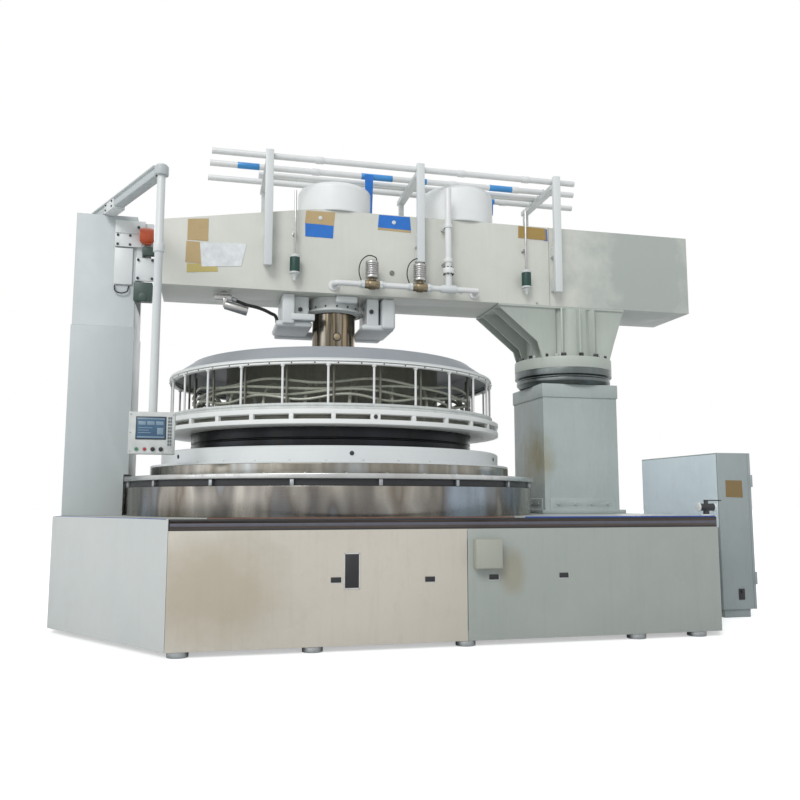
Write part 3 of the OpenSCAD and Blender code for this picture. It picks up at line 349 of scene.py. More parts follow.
def moulded(name, colour, rough=0.4, grain=220, depth=0.15, coat=0.0, metallic=0.0, second=None):
    material, tree, shader = fresh_material(name)
    plain = spot_coords(tree)
    tone = ramp(tree, cloud(tree, plain, 18, 4), ((0.3, colour), (0.7, second or shade(colour, 0.8))))
    wear = spread(tree, cloud(tree, plain, 40, 3), rough - 0.08, rough + 0.1)
    join(tree, shader, {"Base Color": tone, "Roughness": wear, "Metallic": metallic, "Coat Weight": coat})
    bumped(tree, shader, cloud(tree, plain, grain, 3), depth, 0.0008)
    return material


def paper(name, colour):
    material, tree, shader = fresh_material(name)
    fibre = cloud(tree, spot_coords(tree, (1, 1, 6)), 60, 6, 0.8)
    crease = cloud(tree, spot_coords(tree), 9, 5, 0.7)
    tone = ramp(tree, fibre, ((0.3, shade(colour, 0.82)), (0.7, shade(colour, 1.12))))
    tone = mixed(tree, spread(tree, crease, 0, 0.45), tone, shade(colour, 0.7))
    join(tree, shader, {"Base Color": tone, "Roughness": 0.8})
    bumped(tree, shader, math_node(tree, "ADD", fibre, math_node(tree, "MULTIPLY", crease, 8)), 0.5)
    return material


# %% [markdown]
# ### The finishes of this machine
# Each line is one finish: its name, one or two tones and how worn it is. A dark patch gives its
# centre from the spindle, its reach, its tint and its strength; on the beam's right end and the
# pedestal's left face that patch is painted shade.

# %% Enamels
# The two front covers are one enamel: the warm left cover is painted light, the greenish grey right cover
# painted shade.
BASE_PAINTED_LIGHT = enamel("base_enamel_painted_light", (0.58, 0.54, 0.47), (0.53, 0.50, 0.43), grime=0.35, streaks=0.3,
                   dark_patch=((-0.9, -1.66, 0.35), (0.5, 1.0, 0.4), (0.36, 0.3, 0.2), 0.5))
BASE_PAINTED_SHADE = enamel("base_enamel_painted_shade", (0.35, 0.375, 0.345), (0.315, 0.35, 0.325), grime=0.2, streaks=0.25,
                   dark_patch=((0.86, -1.66, 0.43), (0.10, 1.0, 0.16), (0.27, 0.24, 0.16), 0.6))
CHAMFER = enamel("base_corner_enamel", (0.54, 0.565, 0.55), (0.49, 0.52, 0.51), grime=0.12, streaks=0.1)
DECK = enamel("deck_enamel", (0.50, 0.53, 0.50), grime=0.4)
COLUMN = enamel("column_enamel", (0.51, 0.55, 0.55), (0.47, 0.51, 0.51), grime=0.1, streaks=0.12)
# The dark patch on the beam's right end is painted shade for the part that faces away from the light.
BEAM = enamel("beam_enamel", (0.67, 0.68, 0.62), (0.61, 0.62, 0.56), grime=0.14, streaks=0.16,
              dark_patch=((2.7, -0.29, 2.75), (0.95, 1.2, 1.2), (0.36, 0.40, 0.37), 0.85))
WHITE = enamel("white_enamel", (0.70, 0.73, 0.72), (0.66, 0.69, 0.69), 0.35, 0.1, 0.1)
RING_WHITE = enamel("ring_enamel", (0.82, 0.84, 0.82), (0.76, 0.78, 0.76), 0.35, 0.08, 0.05)
DOME = enamel("dome_enamel", (0.84, 0.86, 0.85), (0.80, 0.82, 0.81), 0.4, 0.08, 0.05)
BOX_GREY = enamel("box_enamel", (0.38, 0.39, 0.33), rough=0.4, grime=0.15, streaks=0.1)
PIPE_WHITE = enamel("pipe_enamel", (0.78, 0.79, 0.78), rough=0.35, grime=0.2, streaks=0.05)
NECK = enamel("neck_enamel", (0.47, 0.51, 0.46), (0.42, 0.46, 0.42), grime=0.15)
# The dark olive patch on the pedestal's left face is a painted shadow and reflection.
PEDESTAL = enamel("pedestal_enamel", (0.42, 0.48, 0.47), (0.36, 0.41, 0.39), grime=0.2, wrinkles=0.6,
                  dark_patch=((1.56, -0.12, 1.22), (0.22, 0.42, 0.38), (0.27, 0.24, 0.12), 0.85))
CABINET = enamel("cabinet_enamel", (0.31, 0.35, 0.35), (0.265, 0.305, 0.305), grime=0.12, wrinkles=0.5)
SIDE_FILM = enamel("cabinet_film", (0.82, 0.93, 0.98), (0.74, 0.85, 0.91), 0.3, 0.05, 0.05, wrinkles=0.8)
BLUE_GREY = enamel("cover_enamel", (0.33, 0.355, 0.38), (0.285, 0.31, 0.335), 0.38, 0.18, 0.05)
INNER = enamel("inner_enamel", (0.16, 0.165, 0.13), (0.25, 0.24, 0.19), 0.3, 0.5, 0.5)
MOTOR = enamel("motor_enamel", (0.16, 0.2, 0.25), grime=0.3)

# %% Steels
TRIM = turned("deck_trim_steel", ((0.3, (0.10, 0.08, 0.07)), (0.7, (0.17, 0.14, 0.12))), 0.45, 0.4)
WALL = turned("basin_wall_steel", (
    (0.22, (0.38, 0.46, 0.54)), (0.36, (0.24, 0.28, 0.32)), (0.46, (0.12, 0.10, 0.08)),
    (0.54, (0.36, 0.33, 0.28)), (0.62, (0.17, 0.135, 0.095)), (0.72, (0.42, 0.41, 0.38))), 0.22, 0.3)
RIM = turned("lip_steel", ((0.3, (0.62, 0.64, 0.64)), (0.7, (0.42, 0.42, 0.40))), 0.28, 0.25)
# The pale, brown and blue bands of the band steel are painted reflections of the hall.
BAND = turned("band_steel", (
    (0.3, (0.42, 0.45, 0.47)), (0.5, (0.20, 0.18, 0.14)), (0.7, (0.46, 0.44, 0.40))), 0.2, 0.2, 5)
PLATE = turned("plate_iron", ((0.3, (0.022, 0.025, 0.027)), (0.7, (0.042, 0.045, 0.05))), 0.33, 0.15)
STEEL = turned("ground_steel", ((0.3, (0.45, 0.45, 0.44)), (0.7, (0.6, 0.6, 0.59))), 0.3, 0.2)
# The brown and dark bands of the lift tube's chrome are painted reflections of the hall.
CHROME = turned("tube_chrome", (
    (0.3, (0.16, 0.15, 0.125)), (0.42, (0.40, 0.31, 0.20)), (0.5, (0.08, 0.07, 0.05)),
    (0.6, (0.24, 0.20, 0.15)), (0.7, (0.34, 0.33, 0.30))), 0.16, 0.15, 2.5)
SLEW = turned("slewing_steel", (
    (0.3, (0.12, 0.14, 0.14)), (0.7, (0.19, 0.21, 0.21))), 0.3, 0.2, 3, (SWING_X, 0))
SATIN = moulded("satin_steel", (0.5, 0.5, 0.49), 0.3, 60, 0.05, metallic=1.0)
ZINC = moulded("zinc_plate", (0.42, 0.44, 0.45), 0.42, 90, metallic=1.0)
BRONZE = moulded("cast_bronze", (0.33, 0.27, 0.17), 0.38, 90, 0.3, 0.0, 0.9, (0.22, 0.18, 0.12))

# %% Plastics, papers and small parts
DARK = moulded("black_paint", (0.025, 0.027, 0.03), 0.42, 160)
BLACK = moulded("black_plastic", (0.02, 0.02, 0.022), 0.35, 300)
GREEN = moulded("green_canister", (0.006, 0.05, 0.038), 0.45, 120, 0.05)
RUBBER = moulded("black_hose", (0.018, 0.018, 0.018), 0.5, 500)
POST_GREY = moulded("grey_post", (0.20, 0.20, 0.165), 0.35, 200, 0.05, 0.2, 0.3)
TUBING = moulded("pale_tubing", (0.46, 0.48, 0.39), 0.25, 200, 0.05, 0.3)
ORANGE = moulded("orange_paint", (0.62, 0.10, 0.03), 0.4, 90, 0.3, 0.2)
LAMINATE = moulded("carrier_laminate", (0.48, 0.36, 0.12), 0.4, 320, 0.1)
PANEL = moulded("panel_face", (0.66, 0.69, 0.67), 0.4, 400, 0.1)
START_GREEN = moulded("green_button", (0.02, 0.22, 0.08), 0.3)
STOP_RED = moulded("red_button", (0.45, 0.02, 0.02), 0.3)
GLASS = moulded("screen_glass", (0.03, 0.085, 0.16), 0.3, 30, 0.02, 0.3, 0.0, (0.045, 0.12, 0.21))
SCREEN_PALE = moulded("screen_pale", (0.24, 0.34, 0.42), 0.35, 60, 0.02)
BOLT_GREEN = moulded("dark_green_iron", (0.05, 0.075, 0.065), 0.45, 120, 0.3)
LATCH_IRON = moulded("latch_iron", (0.05, 0.085, 0.07), 0.4, 120, 0.3)
SEAM = moulded("seam_shadow", (0.20, 0.21, 0.19), 0.6, 90)
KEY_GREY = moulded("key_grey", (0.16, 0.19, 0.20), 0.4, 200)
TRIM_GREY = moulded("trim_grey", (0.10, 0.10, 0.125), 0.4, 90)
BEAD_BROWN = moulded("red_brown_bead", (0.20, 0.09, 0.06), 0.5, 120)
EDGE_BLUE = moulded("blue_film_edge", (0.03, 0.08, 0.36), 0.35, 60, 0.3)
FILM = moulded("white_film", (0.80, 0.83, 0.84), 0.3, 30, 0.5, 0.2)
BLUE_FILM = moulded("blue_film", (0.005, 0.17, 0.62), 0.3, 40, 0.4, 0.3)
PALE_BLUE = moulded("pale_blue_film", (0.05, 0.31, 0.72), 0.3, 40, 0.4, 0.3)
VIOLET = moulded("violet_film", (0.16, 0.20, 0.42), 0.3, 40, 0.4, 0.3)
KRAFT = paper("kraft_paper", (0.56, 0.42, 0.22))
KRAFT_YELLOW = paper("yellow_paper", (0.60, 0.50, 0.19))
KRAFT_GOLD = paper("golden_paper", (0.42, 0.28, 0.09))
KRAFT_BROWN = paper("brown_square", (0.24, 0.165, 0.07))

# %% [markdown]
# ## Shapes
# Each piece is gathered in one bmesh. The helpers add a bevelled block, a cylinder with broken
# edges, a turned profile or a bent tube, because no edge on a real machine is a sharp line.

# %% Shape helpers


class Shape:
    def __init__(self):
        self.bm = bmesh.new()

    def block(self, low, high, bevel=0.003, turn=0.0, steps=2):
        low, high = Vector(low), Vector(high)
        size = high - low
        verts = bmesh.ops.create_cube(self.bm, size=1)["verts"]
        place = Matrix.LocRotScale((low + high) / 2, Matrix.Rotation(turn, 3, "Z"), size)
        bmesh.ops.transform(self.bm, matrix=place, verts=verts)
        if bevel:
            edges = list({e for v in verts for e in v.link_edges})
            bmesh.ops.bevel(self.bm, geom=edges, offset=min(bevel, min(size) * 0.45), segments=steps,
                            affect="EDGES", profile=0.5, clamp_overlap=True)
        return self

    def bar(self, start, end, radius, segments, bevel=0.0):
        start, end = Vector(start), Vector(end)
        verts = bmesh.ops.create_cone(self.bm, cap_ends=True, cap_tris=False, segments=segments, radius1=radius,
                                      radius2=radius, depth=(end - start).length)["verts"]
        place = Matrix.LocRotScale((start + end) / 2, (end - start).to_track_quat("Z", "Y"), None)
        bmesh.ops.transform(self.bm, matrix=place, verts=verts)
        if bevel:
            caps = [f for f in {f for v in verts for f in v.link_faces} if len(f.verts) == segments]
            edges = list({e for f in caps for e in f.edges})
            bmesh.ops.bevel(self.bm, geom=edges, offset=bevel, segments=2, affect="EDGES", profile=0.5)
        return self

    def stud(self, x, z, start, end, radius, segments, bevel):
        return self.bar((x, start, z), (x, end, z), radius, segments, bevel)

    def blocks(self, *rows):
        for row in rows:
            self.block(*row)
        return self

    def faced(self, rows, front, back, bevel):
        for x0, z0, x1, z1 in rows:
            self.block((x0, front, z0), (x1, back, z1), bevel)
        return self

    def lathe(self, profile, segments, at=(0, 0, 0)):
        rings = []
        for k in range(segments):
            angle = k * (2 * math.pi / segments)
            c = math.cos(angle)
            s = math.sin(angle)
            rings.append([self.bm.verts.new((at[0] + r * c, at[1] + r * s, at[2] + z)) for r, z in profile])
        for k in range(segments):
            here = rings[k]
            there = rings[(k + 1) % segments]
            for i in range(len(profile)):
                j = (i + 1) % len(profile)
                self.bm.faces.new((here[i], there[i], there[j], here[j]))
        return self

    def tube(self, path, radius, sides):
        points = [Vector(p) for p in path]
        last = len(points) - 1
        ahead = [(points[min(i + 1, last)] - points[max(i - 1, 0)]).normalized() for i in range(last + 1)]
        side = ahead[0].orthogonal().normalized()
        rings = []
        for point, way in zip(points, ahead):
            side = (side - way * side.dot(way)).normalized()
            other = way.cross(side)
            rings.append([self.bm.verts.new(point + radius * (math.cos(a) * side + math.sin(a) * other))
                          for a in [2 * math.pi * k / sides for k in range(sides)]])
        for here, there in zip(rings, rings[1:]):
            for k in range(sides):
                self.bm.faces.new((here[k], here[(k + 1) % sides], there[(k + 1) % sides], there[k]))
        self.bm.faces.new(list(reversed(rings[0])))
        self.bm.faces.new(rings[-1])
        return self

    def moved(self, matrix):
        bmesh.ops.transform(self.bm, matrix=matrix, verts=self.bm.verts)
        return self


def piece(shape, name, material, body, nodes=(), sharp_deg=38):
    bm = shape.bm
    bmesh.ops.remove_doubles(bm, verts=bm.verts, dist=1e-6)
    bmesh.ops.recalc_face_normals(bm, faces=bm.faces)
    bmesh.ops.translate(bm, vec=SPINDLE, verts=bm.verts)
    return finished(mesh_of(bm, name), name, material, body, nodes, sharp_deg)


def studs(name, material, body, start, end, radius, segments, bevel, *spots):
    shape = Shape()
    for x, z in spots:
        shape.stud(x, z, start, end, radius, segments, bevel)
    return piece(shape, name, material, body)


def finished(mesh, name, material, body, nodes=(), sharp_deg=38):
    mesh.materials.clear()
    mesh.materials.append(material)
    for face in mesh.polygons:
        face.use_smooth = True
        face.material_index = 0
    mesh.set_sharp_from_angle(angle=math.radians(sharp_deg))
    obj = placed(name, mesh)
    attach(obj, body)
    if nodes:
        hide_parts(*nodes)
    return obj


def rounded(profile, radius, steps=3):
    points = [Vector(p) for p in profile]
    made = []
    for i, here in enumerate(points):
        back = points[i - 1] - here
        on = points[(i + 1) % len(points)] - here
        reach = min(radius, back.length * 0.45, on.length * 0.45)
        if reach < 1e-5 or here.x < 1e-6:
            made.append(here)
            continue
        first = here + back.normalized() * reach
        last = here + on.normalized() * reach
        for k in range(steps + 1):
            t = k / steps
            made.append(first.lerp(here, t).lerp(here.lerp(last, t), t))
    return made


def smooth_path(points, steps=8):
    points = [Vector(p) for p in points]
    made = []
    for i in range(len(points) - 1):
        p0 = points[max(i - 1, 0)]
        p1 = points[i]
        p2 = points[i + 1]
        p3 = points[min(i + 2, len(points) - 1)]
        for k in range(steps):
            t = k / steps
            made.append(0.5 * ((2 * p1) + (p2 - p0) * t + (2 * p0 - 5 * p1 + 4 * p2 - p3) * t * t
                               + (3 * p1 - p0 - 3 * p2 + p3) * t ** 3))
    made.append(points[-1])
    return made


# %% [markdown]
# ### Rings of parts
# Bolts, posts and screws repeat round an axis. One Geometry Nodes tree stamps a part on the
# points of a circle, turns each outwards and ends in real mesh with its own material.

# %% Geometry Nodes tree


def ring_tree():
    tree = bpy.data.node_groups.new("ring_of_parts", "GeometryNodeTree")
    tree.is_modifier = True
    new_socket = tree.interface.new_socket
    new_socket("Geometry", in_out="INPUT", socket_type="NodeSocketGeometry")
    ids = {}
    for label, kind in (("Part", "Object"), ("Finish", "Material"), ("Count", "Int"), ("Radius", "Float"),
                        ("Start", "Float"), ("Height", "Float")):
        ids[label] = new_socket(label, in_out="INPUT", socket_type="NodeSocket" + kind).identifier
    new_socket("Geometry", in_out="OUTPUT", socket_type="NodeSocketGeometry")
    given = tree.nodes.new("NodeGroupInput").outputs
    circle = result(tree, "GeometryNodeMeshCircle", {"Vertices": given["Count"], "Radius": given["Radius"]})
    turn = result(tree, "ShaderNodeCombineXYZ", {2: given["Start"]})
    rise = result(tree, "ShaderNodeCombineXYZ", {2: given["Height"]})
    points = result(tree, "GeometryNodeTransform", {"Geometry": circle, "Rotation": turn, "Translation": rise})
    place = tree.nodes.new("GeometryNodeInputPosition").outputs[0]
    x, y, z = add_node(tree, "ShaderNodeSeparateXYZ", {0: place}).outputs
    outwards = result(tree, "ShaderNodeCombineXYZ", {2: math_node(tree, "ARCTAN2", y, x)})
    part = result(tree, "GeometryNodeObjectInfo", {"Object": given["Part"]}, output="Geometry")
    stamps = {"Points": points, "Instance": part, "Rotation": outwards}
    ring = result(tree, "GeometryNodeInstanceOnPoints", stamps)
    real = result(tree, "GeometryNodeRealizeInstances", {0: ring})
    painted = result(tree, "GeometryNodeSetMaterial", {"Geometry": real, "Material": given["Finish"]})
    add_node(tree, "NodeGroupOutput", {0: painted})
    return tree, ids


RING_TREE, RING_IDS = ring_tree()


def ring_of(shape, count, radius, height, name, material, body, start=0.0, at=(0, 0, 0), nodes=()):
    bmesh.ops.recalc_face_normals(shape.bm, faces=shape.bm.faces)
    part = placed(name + "_one", mesh_of(shape.bm, name + "_one"))
    host = placed(name + "_host", bpy.data.meshes.new(name + "_host"))
    modifier = host.modifiers.new("stamp", "NODES")
    modifier.node_group = RING_TREE
    for label, value in (("Part", part), ("Finish", material), ("Count", count), ("Radius", radius),
                         ("Start", start), ("Height", height)):
        modifier[RING_IDS[label]] = value
    made = baked(host)
    made.transform(Matrix.Translation(SPINDLE + Vector(at)))
    bpy.data.objects.remove(part)
    return finished(made, name, material, body, nodes)


# %% [markdown]
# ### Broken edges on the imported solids
# Many solids already have the right form and only lack the small bevel that catches the light.
# A copy of the solid is merged, flat faces are joined and its edges are bevelled.

# %% Bevelled copies


def dressed(node, material, bevel, steps=2):
    source = frame["nodes"][node]
    bm = bmesh.new()
    bm.from_mesh(source.data)
    bm.transform(source.matrix_world)
    bmesh.ops.remove_doubles(bm, verts=bm.verts, dist=2e-5)
    bmesh.ops.dissolve_limit(bm, angle_limit=math.radians(1.0), verts=bm.verts, edges=bm.edges)
    obj = placed(node + "_copy", mesh_of(bm, node + "_copy"))
    edge = obj.modifiers.new("edge", "BEVEL")
    edge.width = bevel
    edge.segments = steps
    edge.limit_method = "ANGLE"
    edge.angle_limit = math.radians(35)
    edge.use_clamp_overlap = True
    return finished(baked(obj), node + "_dressed", material, body_of(source)[0], (node,))


def dress_all(rows):
    for node, material, bevel in rows:
        dressed(node, material, bevel)


# %% [markdown]
# ### Small shared helpers
# A wheel is a turned part with softened corners, and most of them start from a rectangle. A
# strip is a flat bar along one edge of the faceted base. A patch is a thin sheet of paper or
# film that ripples a little on what it covers.

# %% Wheels, strips and patches
THICK = 0.0012


def rect(inner, outer, low, high):
    return [(inner, low), (outer, low), (outer, high), (inner, high)]


def wheel(name, profile, material, body, nodes=(), radius=0.002, segments=192, at=(0, 0, 0)):
    return piece(Shape().lathe(rounded(profile, radius), segments, at), name, material, body, nodes)


def strips(name, material, *rows):
    shape = Shape()
    for start, end, low, high, depth in rows:
        first = Vector((*start, 0))
        last = Vector((*end, 0))
        way = (last - first).normalized()
        outward = Vector((way.y, -way.x, 0))
        centre = (first + last) / 2 + outward * (depth / 2) + Vector((0, 0, (low + high) / 2))
        half = Vector(((last - first).length / 2, depth / 2, (high - low) / 2))
        shape.block(centre - half, centre + half, 0.001, math.atan2(way.y, way.x))
    piece(shape, name, material, "base")


def patch(name, corners, material, body, ripple, steps=16):
    a, b, c, d = [Vector(p) for p in corners]
    normal = (b - a).cross(d - a).normalized()
    shape = Shape()
    new = shape.bm.verts.new
    count = range(steps + 1)
    grid = [[a.lerp(b, i / steps).lerp(d.lerp(c, i / steps), j / steps) for i in count] for j in count]
    top = [[new(p + normal * (THICK + ripple * 0.5 * (1 + noise.noise(p * 9)))) for p in row] for row in grid]
    back = [[new(p) for p in row] for row in grid]
    face = shape.bm.faces.new
    for rows in (top, back):
        for j in range(steps):
            for i in range(steps):
                face((rows[j][i], rows[j][i + 1], rows[j + 1][i + 1], rows[j + 1][i]))
    for k in range(steps):
        for j in (0, steps):
            face((top[j][k], top[j][k + 1], back[j][k + 1], back[j][k]))
            face((top[k][j], top[k + 1][j], back[k + 1][j], back[k][j]))
    return piece(shape, name, material, body, sharp_deg=60)


def paint(material, *nodes):
    for node in nodes:
        for place in frame["nodes"][node].material_slots:
            place.material = material


def hex_bolt(radius, height):
    head = Shape().bar((0, 0, 0), (0, 0, height), radius, 6, 0.001)
    return head.bar((0, 0, -0.001), (0, 0, 0.0015), radius * 1.35, 20)


def round_head(radius, sides, out=0.003):
    return Shape().bar((-0.002, 0, 0), (out, 0, 0), radius, sides, 0.001)


# %% [markdown]
# ## The base
# The base is a welded frame closed by enamelled sheet covers, from almost white at the left
# corner to warm and greenish grey in front. The two front covers are one enamel: the warm left
# tone is painted light and the greenish grey right tone is painted shade. The imported solids
# have the right form and only get broken edges; the beads and film along the trim and the frame
# round the window are added.

# %% Base, covers and deck
dress_all((
    ("base_frame", DECK, 0.004), ("side_covers", CHAMFER, 0.002), ("front_cover_left", BASE_PAINTED_LIGHT, 0.002),
    ("front_cover_right", BASE_PAINTED_SHADE, 0.002), ("levelling_feet", ZINC, 0.003), ("deck_trim", TRIM, 0.0012),
    ("cover_fittings", BLACK, 0.0012), ("junction_box", BOX_GREY, 0.004)))

left, right = (-1.15, -1.654), (2.268, -1.654)
strips("trim_beads", DARK, (left, right, 0.694, 0.702, 0.002), (left, right, 0.744, 0.753, 0.002))
strips("trim_flat", TRIM_GREY, ((-1.15, -1.6545), (2.268, -1.6545), 0.713, 0.732, 0.0015))
strips("deck_bead", BEAD_BROWN, ((-0.95, -1.6), (0.9, -1.6), 0.755, 0.762, 0.004))
strips("film_edge", EDGE_BLUE, ((-1.92555, -0.56), (-1.17, -1.645), 0.7545, 0.758, 0.001),
       ((0.95, -1.652), (2.26, -1.652), 0.754, 0.762, 0.0025))

# %% Fittings of the front
frames = Shape().faced(((-0.171, 0.352, -0.079, 0.358), (-0.171, 0.552, -0.079, 0.558),
                        (-0.171, 0.352, -0.166, 0.558), (-0.084, 0.352, -0.079, 0.558)), -1.664, -1.66, 0.001)
for x, z in ((-0.218, 0.406), (0.342, 0.399), (0.740, 0.403), (1.193, 0.405)):
    frames.faced(((x - 0.034, z - 0.019, x + 0.034, z - 0.0155), (x + 0.0305, z - 0.019, x + 0.034, z + 0.019)),
                 -1.662, -1.6595, 0.001)
piece(frames, "fitting_frames", PANEL, "base")
piece(Shape().block((0.606, -1.728, 0.456), (0.774, -1.716, 0.634), 0.003), "junction_lid", BOX_GREY, "base")
studs("junction_screws", ZINC, "base", -1.7275, -1.7315, 0.005, 16, 0.001, (0.625, 0.472), (0.755, 0.472))

# %% [markdown]
# ## The basin
# The basin is turned sheet steel: a tall wall, a recess painted black as painted shade under the
# lip, then a thick lip with small clips under it. On the lip stand a bright band and the white
# guard ring. Each is a profile turned about the spindle.

# %% Basin
wheel("basin_wall", [(1.49, 0.756), (1.54, 0.756), (1.54, 0.948), (1.515, 0.948), (1.515, 0.78), (1.49, 0.78)],
      WALL, "base", ("basin",), 0.003)
# The recess ring is painted black: painted shade under the overhanging lip.
wheel("basin_recess", rect(1.505, 1.521, 0.947, 0.991), DARK, "base", (), 0.001, 160)
wheel("basin_lip", rect(1.353, 1.557, 0.990, 1.023), RIM, "base", (), 0.006)
wheel("basin_band", rect(1.353, 1.370, 1.022, 1.091), BAND, "base")
ring_of(Shape().block((-0.02, -0.012, -0.02), (0.012, 0.012, 0.02), 0.002), 18, 1.531, 0.969,
        "lip_clips", ZINC, "base", math.radians(-87.4))
ring_of(hex_bolt(0.008, 0.006), 36, 1.46, 1.0235, "lip_bolts", ZINC, "base", math.radians(-95))
wheel("guard_wall", [(1.215, 1.0915), (1.369, 1.0915), (1.369, 1.107), (1.293, 1.107), (1.293, 1.195),
                     (1.281, 1.207), (1.215, 1.207)], WHITE, "base", ("guard_ring",), 0.003)
ring_of(round_head(0.0145, 20), 6, 1.293, 1.157, "guard_screws", DARK, "base", math.radians(-92.96))
ring_of(hex_bolt(0.007, 0.006), 36, 1.33, 1.107, "guard_bolts", ZINC, "base", math.radians(-90))

# %% [markdown]
# ## Plates, gears and carriers
# Between the plates five carriers run on pins. The plates are ground iron, so they are turned
# profiles with a groove in the edge; the gears keep their packed form and get ground steel.

# %% Plates and gears
for name, node, body, low, groove, high, soft in (
        ("upper_plate_disc", "upper_plate", UPPER, 1.215, 1.262, 1.365, 0.003),
        ("lower_plate_disc", "lower_plate", "lower_table", 1.0755, 1.13, 1.185, 0.002)):
    wheel(name, [(0.38, low), (1.083, low), (1.083, groove), (1.077, groove + 0.004), (1.077, groove + 0.010),
                 (1.083, groove + 0.014), (1.083, high), (0.38, high)], PLATE, body, (node,), soft)
paint(LAMINATE, "carrier_1", "carrier_2", "carrier_3", "carrier_4", "carrier_5")
paint(STEEL, "sun_gear", "ring_gear", "ring_pinion", "lower_pinion", "lower_spindle", "bearings")
paint(MOTOR, "drive_motors", "spindle_housing", "upper_motor", "lift_cylinders")

# %% [markdown]
# ## The caged upper unit
# The slotted ring is really two white rings held apart by small webs, with shadow behind. Above
# it stand thin posts, and inside them spokes, inner posts, four wavy lines that run round the
# cage and the slurry hoses that loop into the plate. Most of these repeat round the spindle, so
# one tree sets them.

# %% Slotted ring
SLOT_TURN = math.radians(-86.2)
wheel("slot_ring_bottom", rect(1.087, 1.300, 1.344, 1.3745), RING_WHITE, UPPER, ("slotted_ring",), 0.003)
wheel("slot_ring_top", rect(1.087, 1.300, 1.4085, 1.439), RING_WHITE, UPPER, (), 0.003)
# This dark band behind the slots is painted shade seen through them.
wheel("slot_back", rect(1.200, 1.215, 1.373, 1.410), INNER, UPPER, (), 0.001, 160)
ring_of(Shape().block((-0.014, -0.014, -0.018), (0.0125, 0.014, 0.018), 0.002), 30, 1.286, 1.3915,
        "slot_webs", RING_WHITE, UPPER, SLOT_TURN)
turn = Matrix.Rotation(SLOT_TURN, 4, "Z")
key = Shape().block((1.272, -0.032, 1.3735), (1.2985, 0.032, 1.4095), 0.002)
piece(key.moved(turn), "slot_key", RING_WHITE, UPPER)
key = Shape().bar((1.297, 0, 1.392), (1.3005, 0, 1.392), 0.0135, 24, 0.0008)
piece(key.moved(turn), "slot_dot", DARK, UPPER)

# %% Cage
wheel("cage_rail_low", rect(1.214, 1.254, 1.737, 1.750), RING_WHITE, UPPER, ("cage_frame",), 0.003)
wheel("cage_rail_top", rect(1.214, 1.254, 1.755, 1.768), RING_WHITE, UPPER, (), 0.003)
wheel("cage_rail_gap", rect(1.214, 1.240, 1.749, 1.756), DARK, UPPER, (), 0.0005, 160)
wheel("cage_foot", [(1.214, 1.4385), (1.256, 1.4385), (1.256, 1.455), (1.25, 1.459), (1.25, 1.463),
                    (1.256, 1.467), (1.256, 1.482), (1.214, 1.482)], PANEL, UPPER)
post = Shape()
for low, high, radius in ((0, 0.299, 0.008), (0, 0.012, 0.015), (0.287, 0.299, 0.015)):
    post.bar((0, 0, low), (0, 0, high), radius, 12)
ring_of(post, 26, 1.238, 1.439, "cage_posts", PIPE_WHITE, UPPER, math.radians(-86))
ring_of(Shape().bar((0, 0, 0), (0, 0, 0.395), 0.008, 10), 22, 1.104, 1.439, "cage_inner_posts", POST_GREY,
        UPPER, math.radians(-81.8))
ring_of(round_head(0.005, 10), 52, 1.2535, 1.7435, "cage_screws", DARK, UPPER)
lines = Shape()
for level, waves, phase in ((1.58, 7, 0.0), (1.615, 5, 1.3), (1.655, 9, 2.1), (1.545, 11, 0.7)):
    path = []
    for k in range(180):
        a = math.radians(90 + 1.99 * k)
        away = 1.075 + 0.012 * math.sin(waves * a)
        path.append((away * math.cos(a), away * math.sin(a), level + 0.018 * math.sin(waves * a + phase)))
    lines.tube(path, 0.0095, 8)
piece(lines, "ring_lines", TUBING, UPPER)

# %% Hub, hoses and cover
dressed("plate_hub", INNER, 0.003)
loop = [(-0.09, 0.04, 0.0), (-0.09, 0.04, 0.12), (-0.07, 0.03, 0.22), (0.0, 0.0, 0.285),
        (0.07, -0.03, 0.23), (0.09, -0.04, 0.12), (0.09, -0.04, 0.0)]
ring_of(Shape().tube(smooth_path(loop, 5), 0.0125, 8), 22, 0.955, 1.364, "slurry_loops", TUBING, UPPER, 0.14,
        nodes=("slurry_hoses",))
wheel("cover_cone", [(1.246, 1.768), (1.102, 1.868), (1.090, 1.880), (0.100, 1.880), (0.100, 1.866),
                     (1.082, 1.866), (1.224, 1.768)], BLUE_GREY, UPPER, ("upper_cover",), 0.004)
wheel("cover_foot", rect(1.232, 1.250, 1.768, 1.776), WHITE, UPPER)
ring_of(hex_bolt(0.012, 0.01), 12, 0.24, 1.880, "cover_bolts", ZINC, UPPER)

# %% [markdown]
# ## The lift tube and its hanger
# A bright tube carries the upper unit and slides through a bolted collar under the beam. White
# rounded blocks stand on both sides of it, and the tube shows between them.

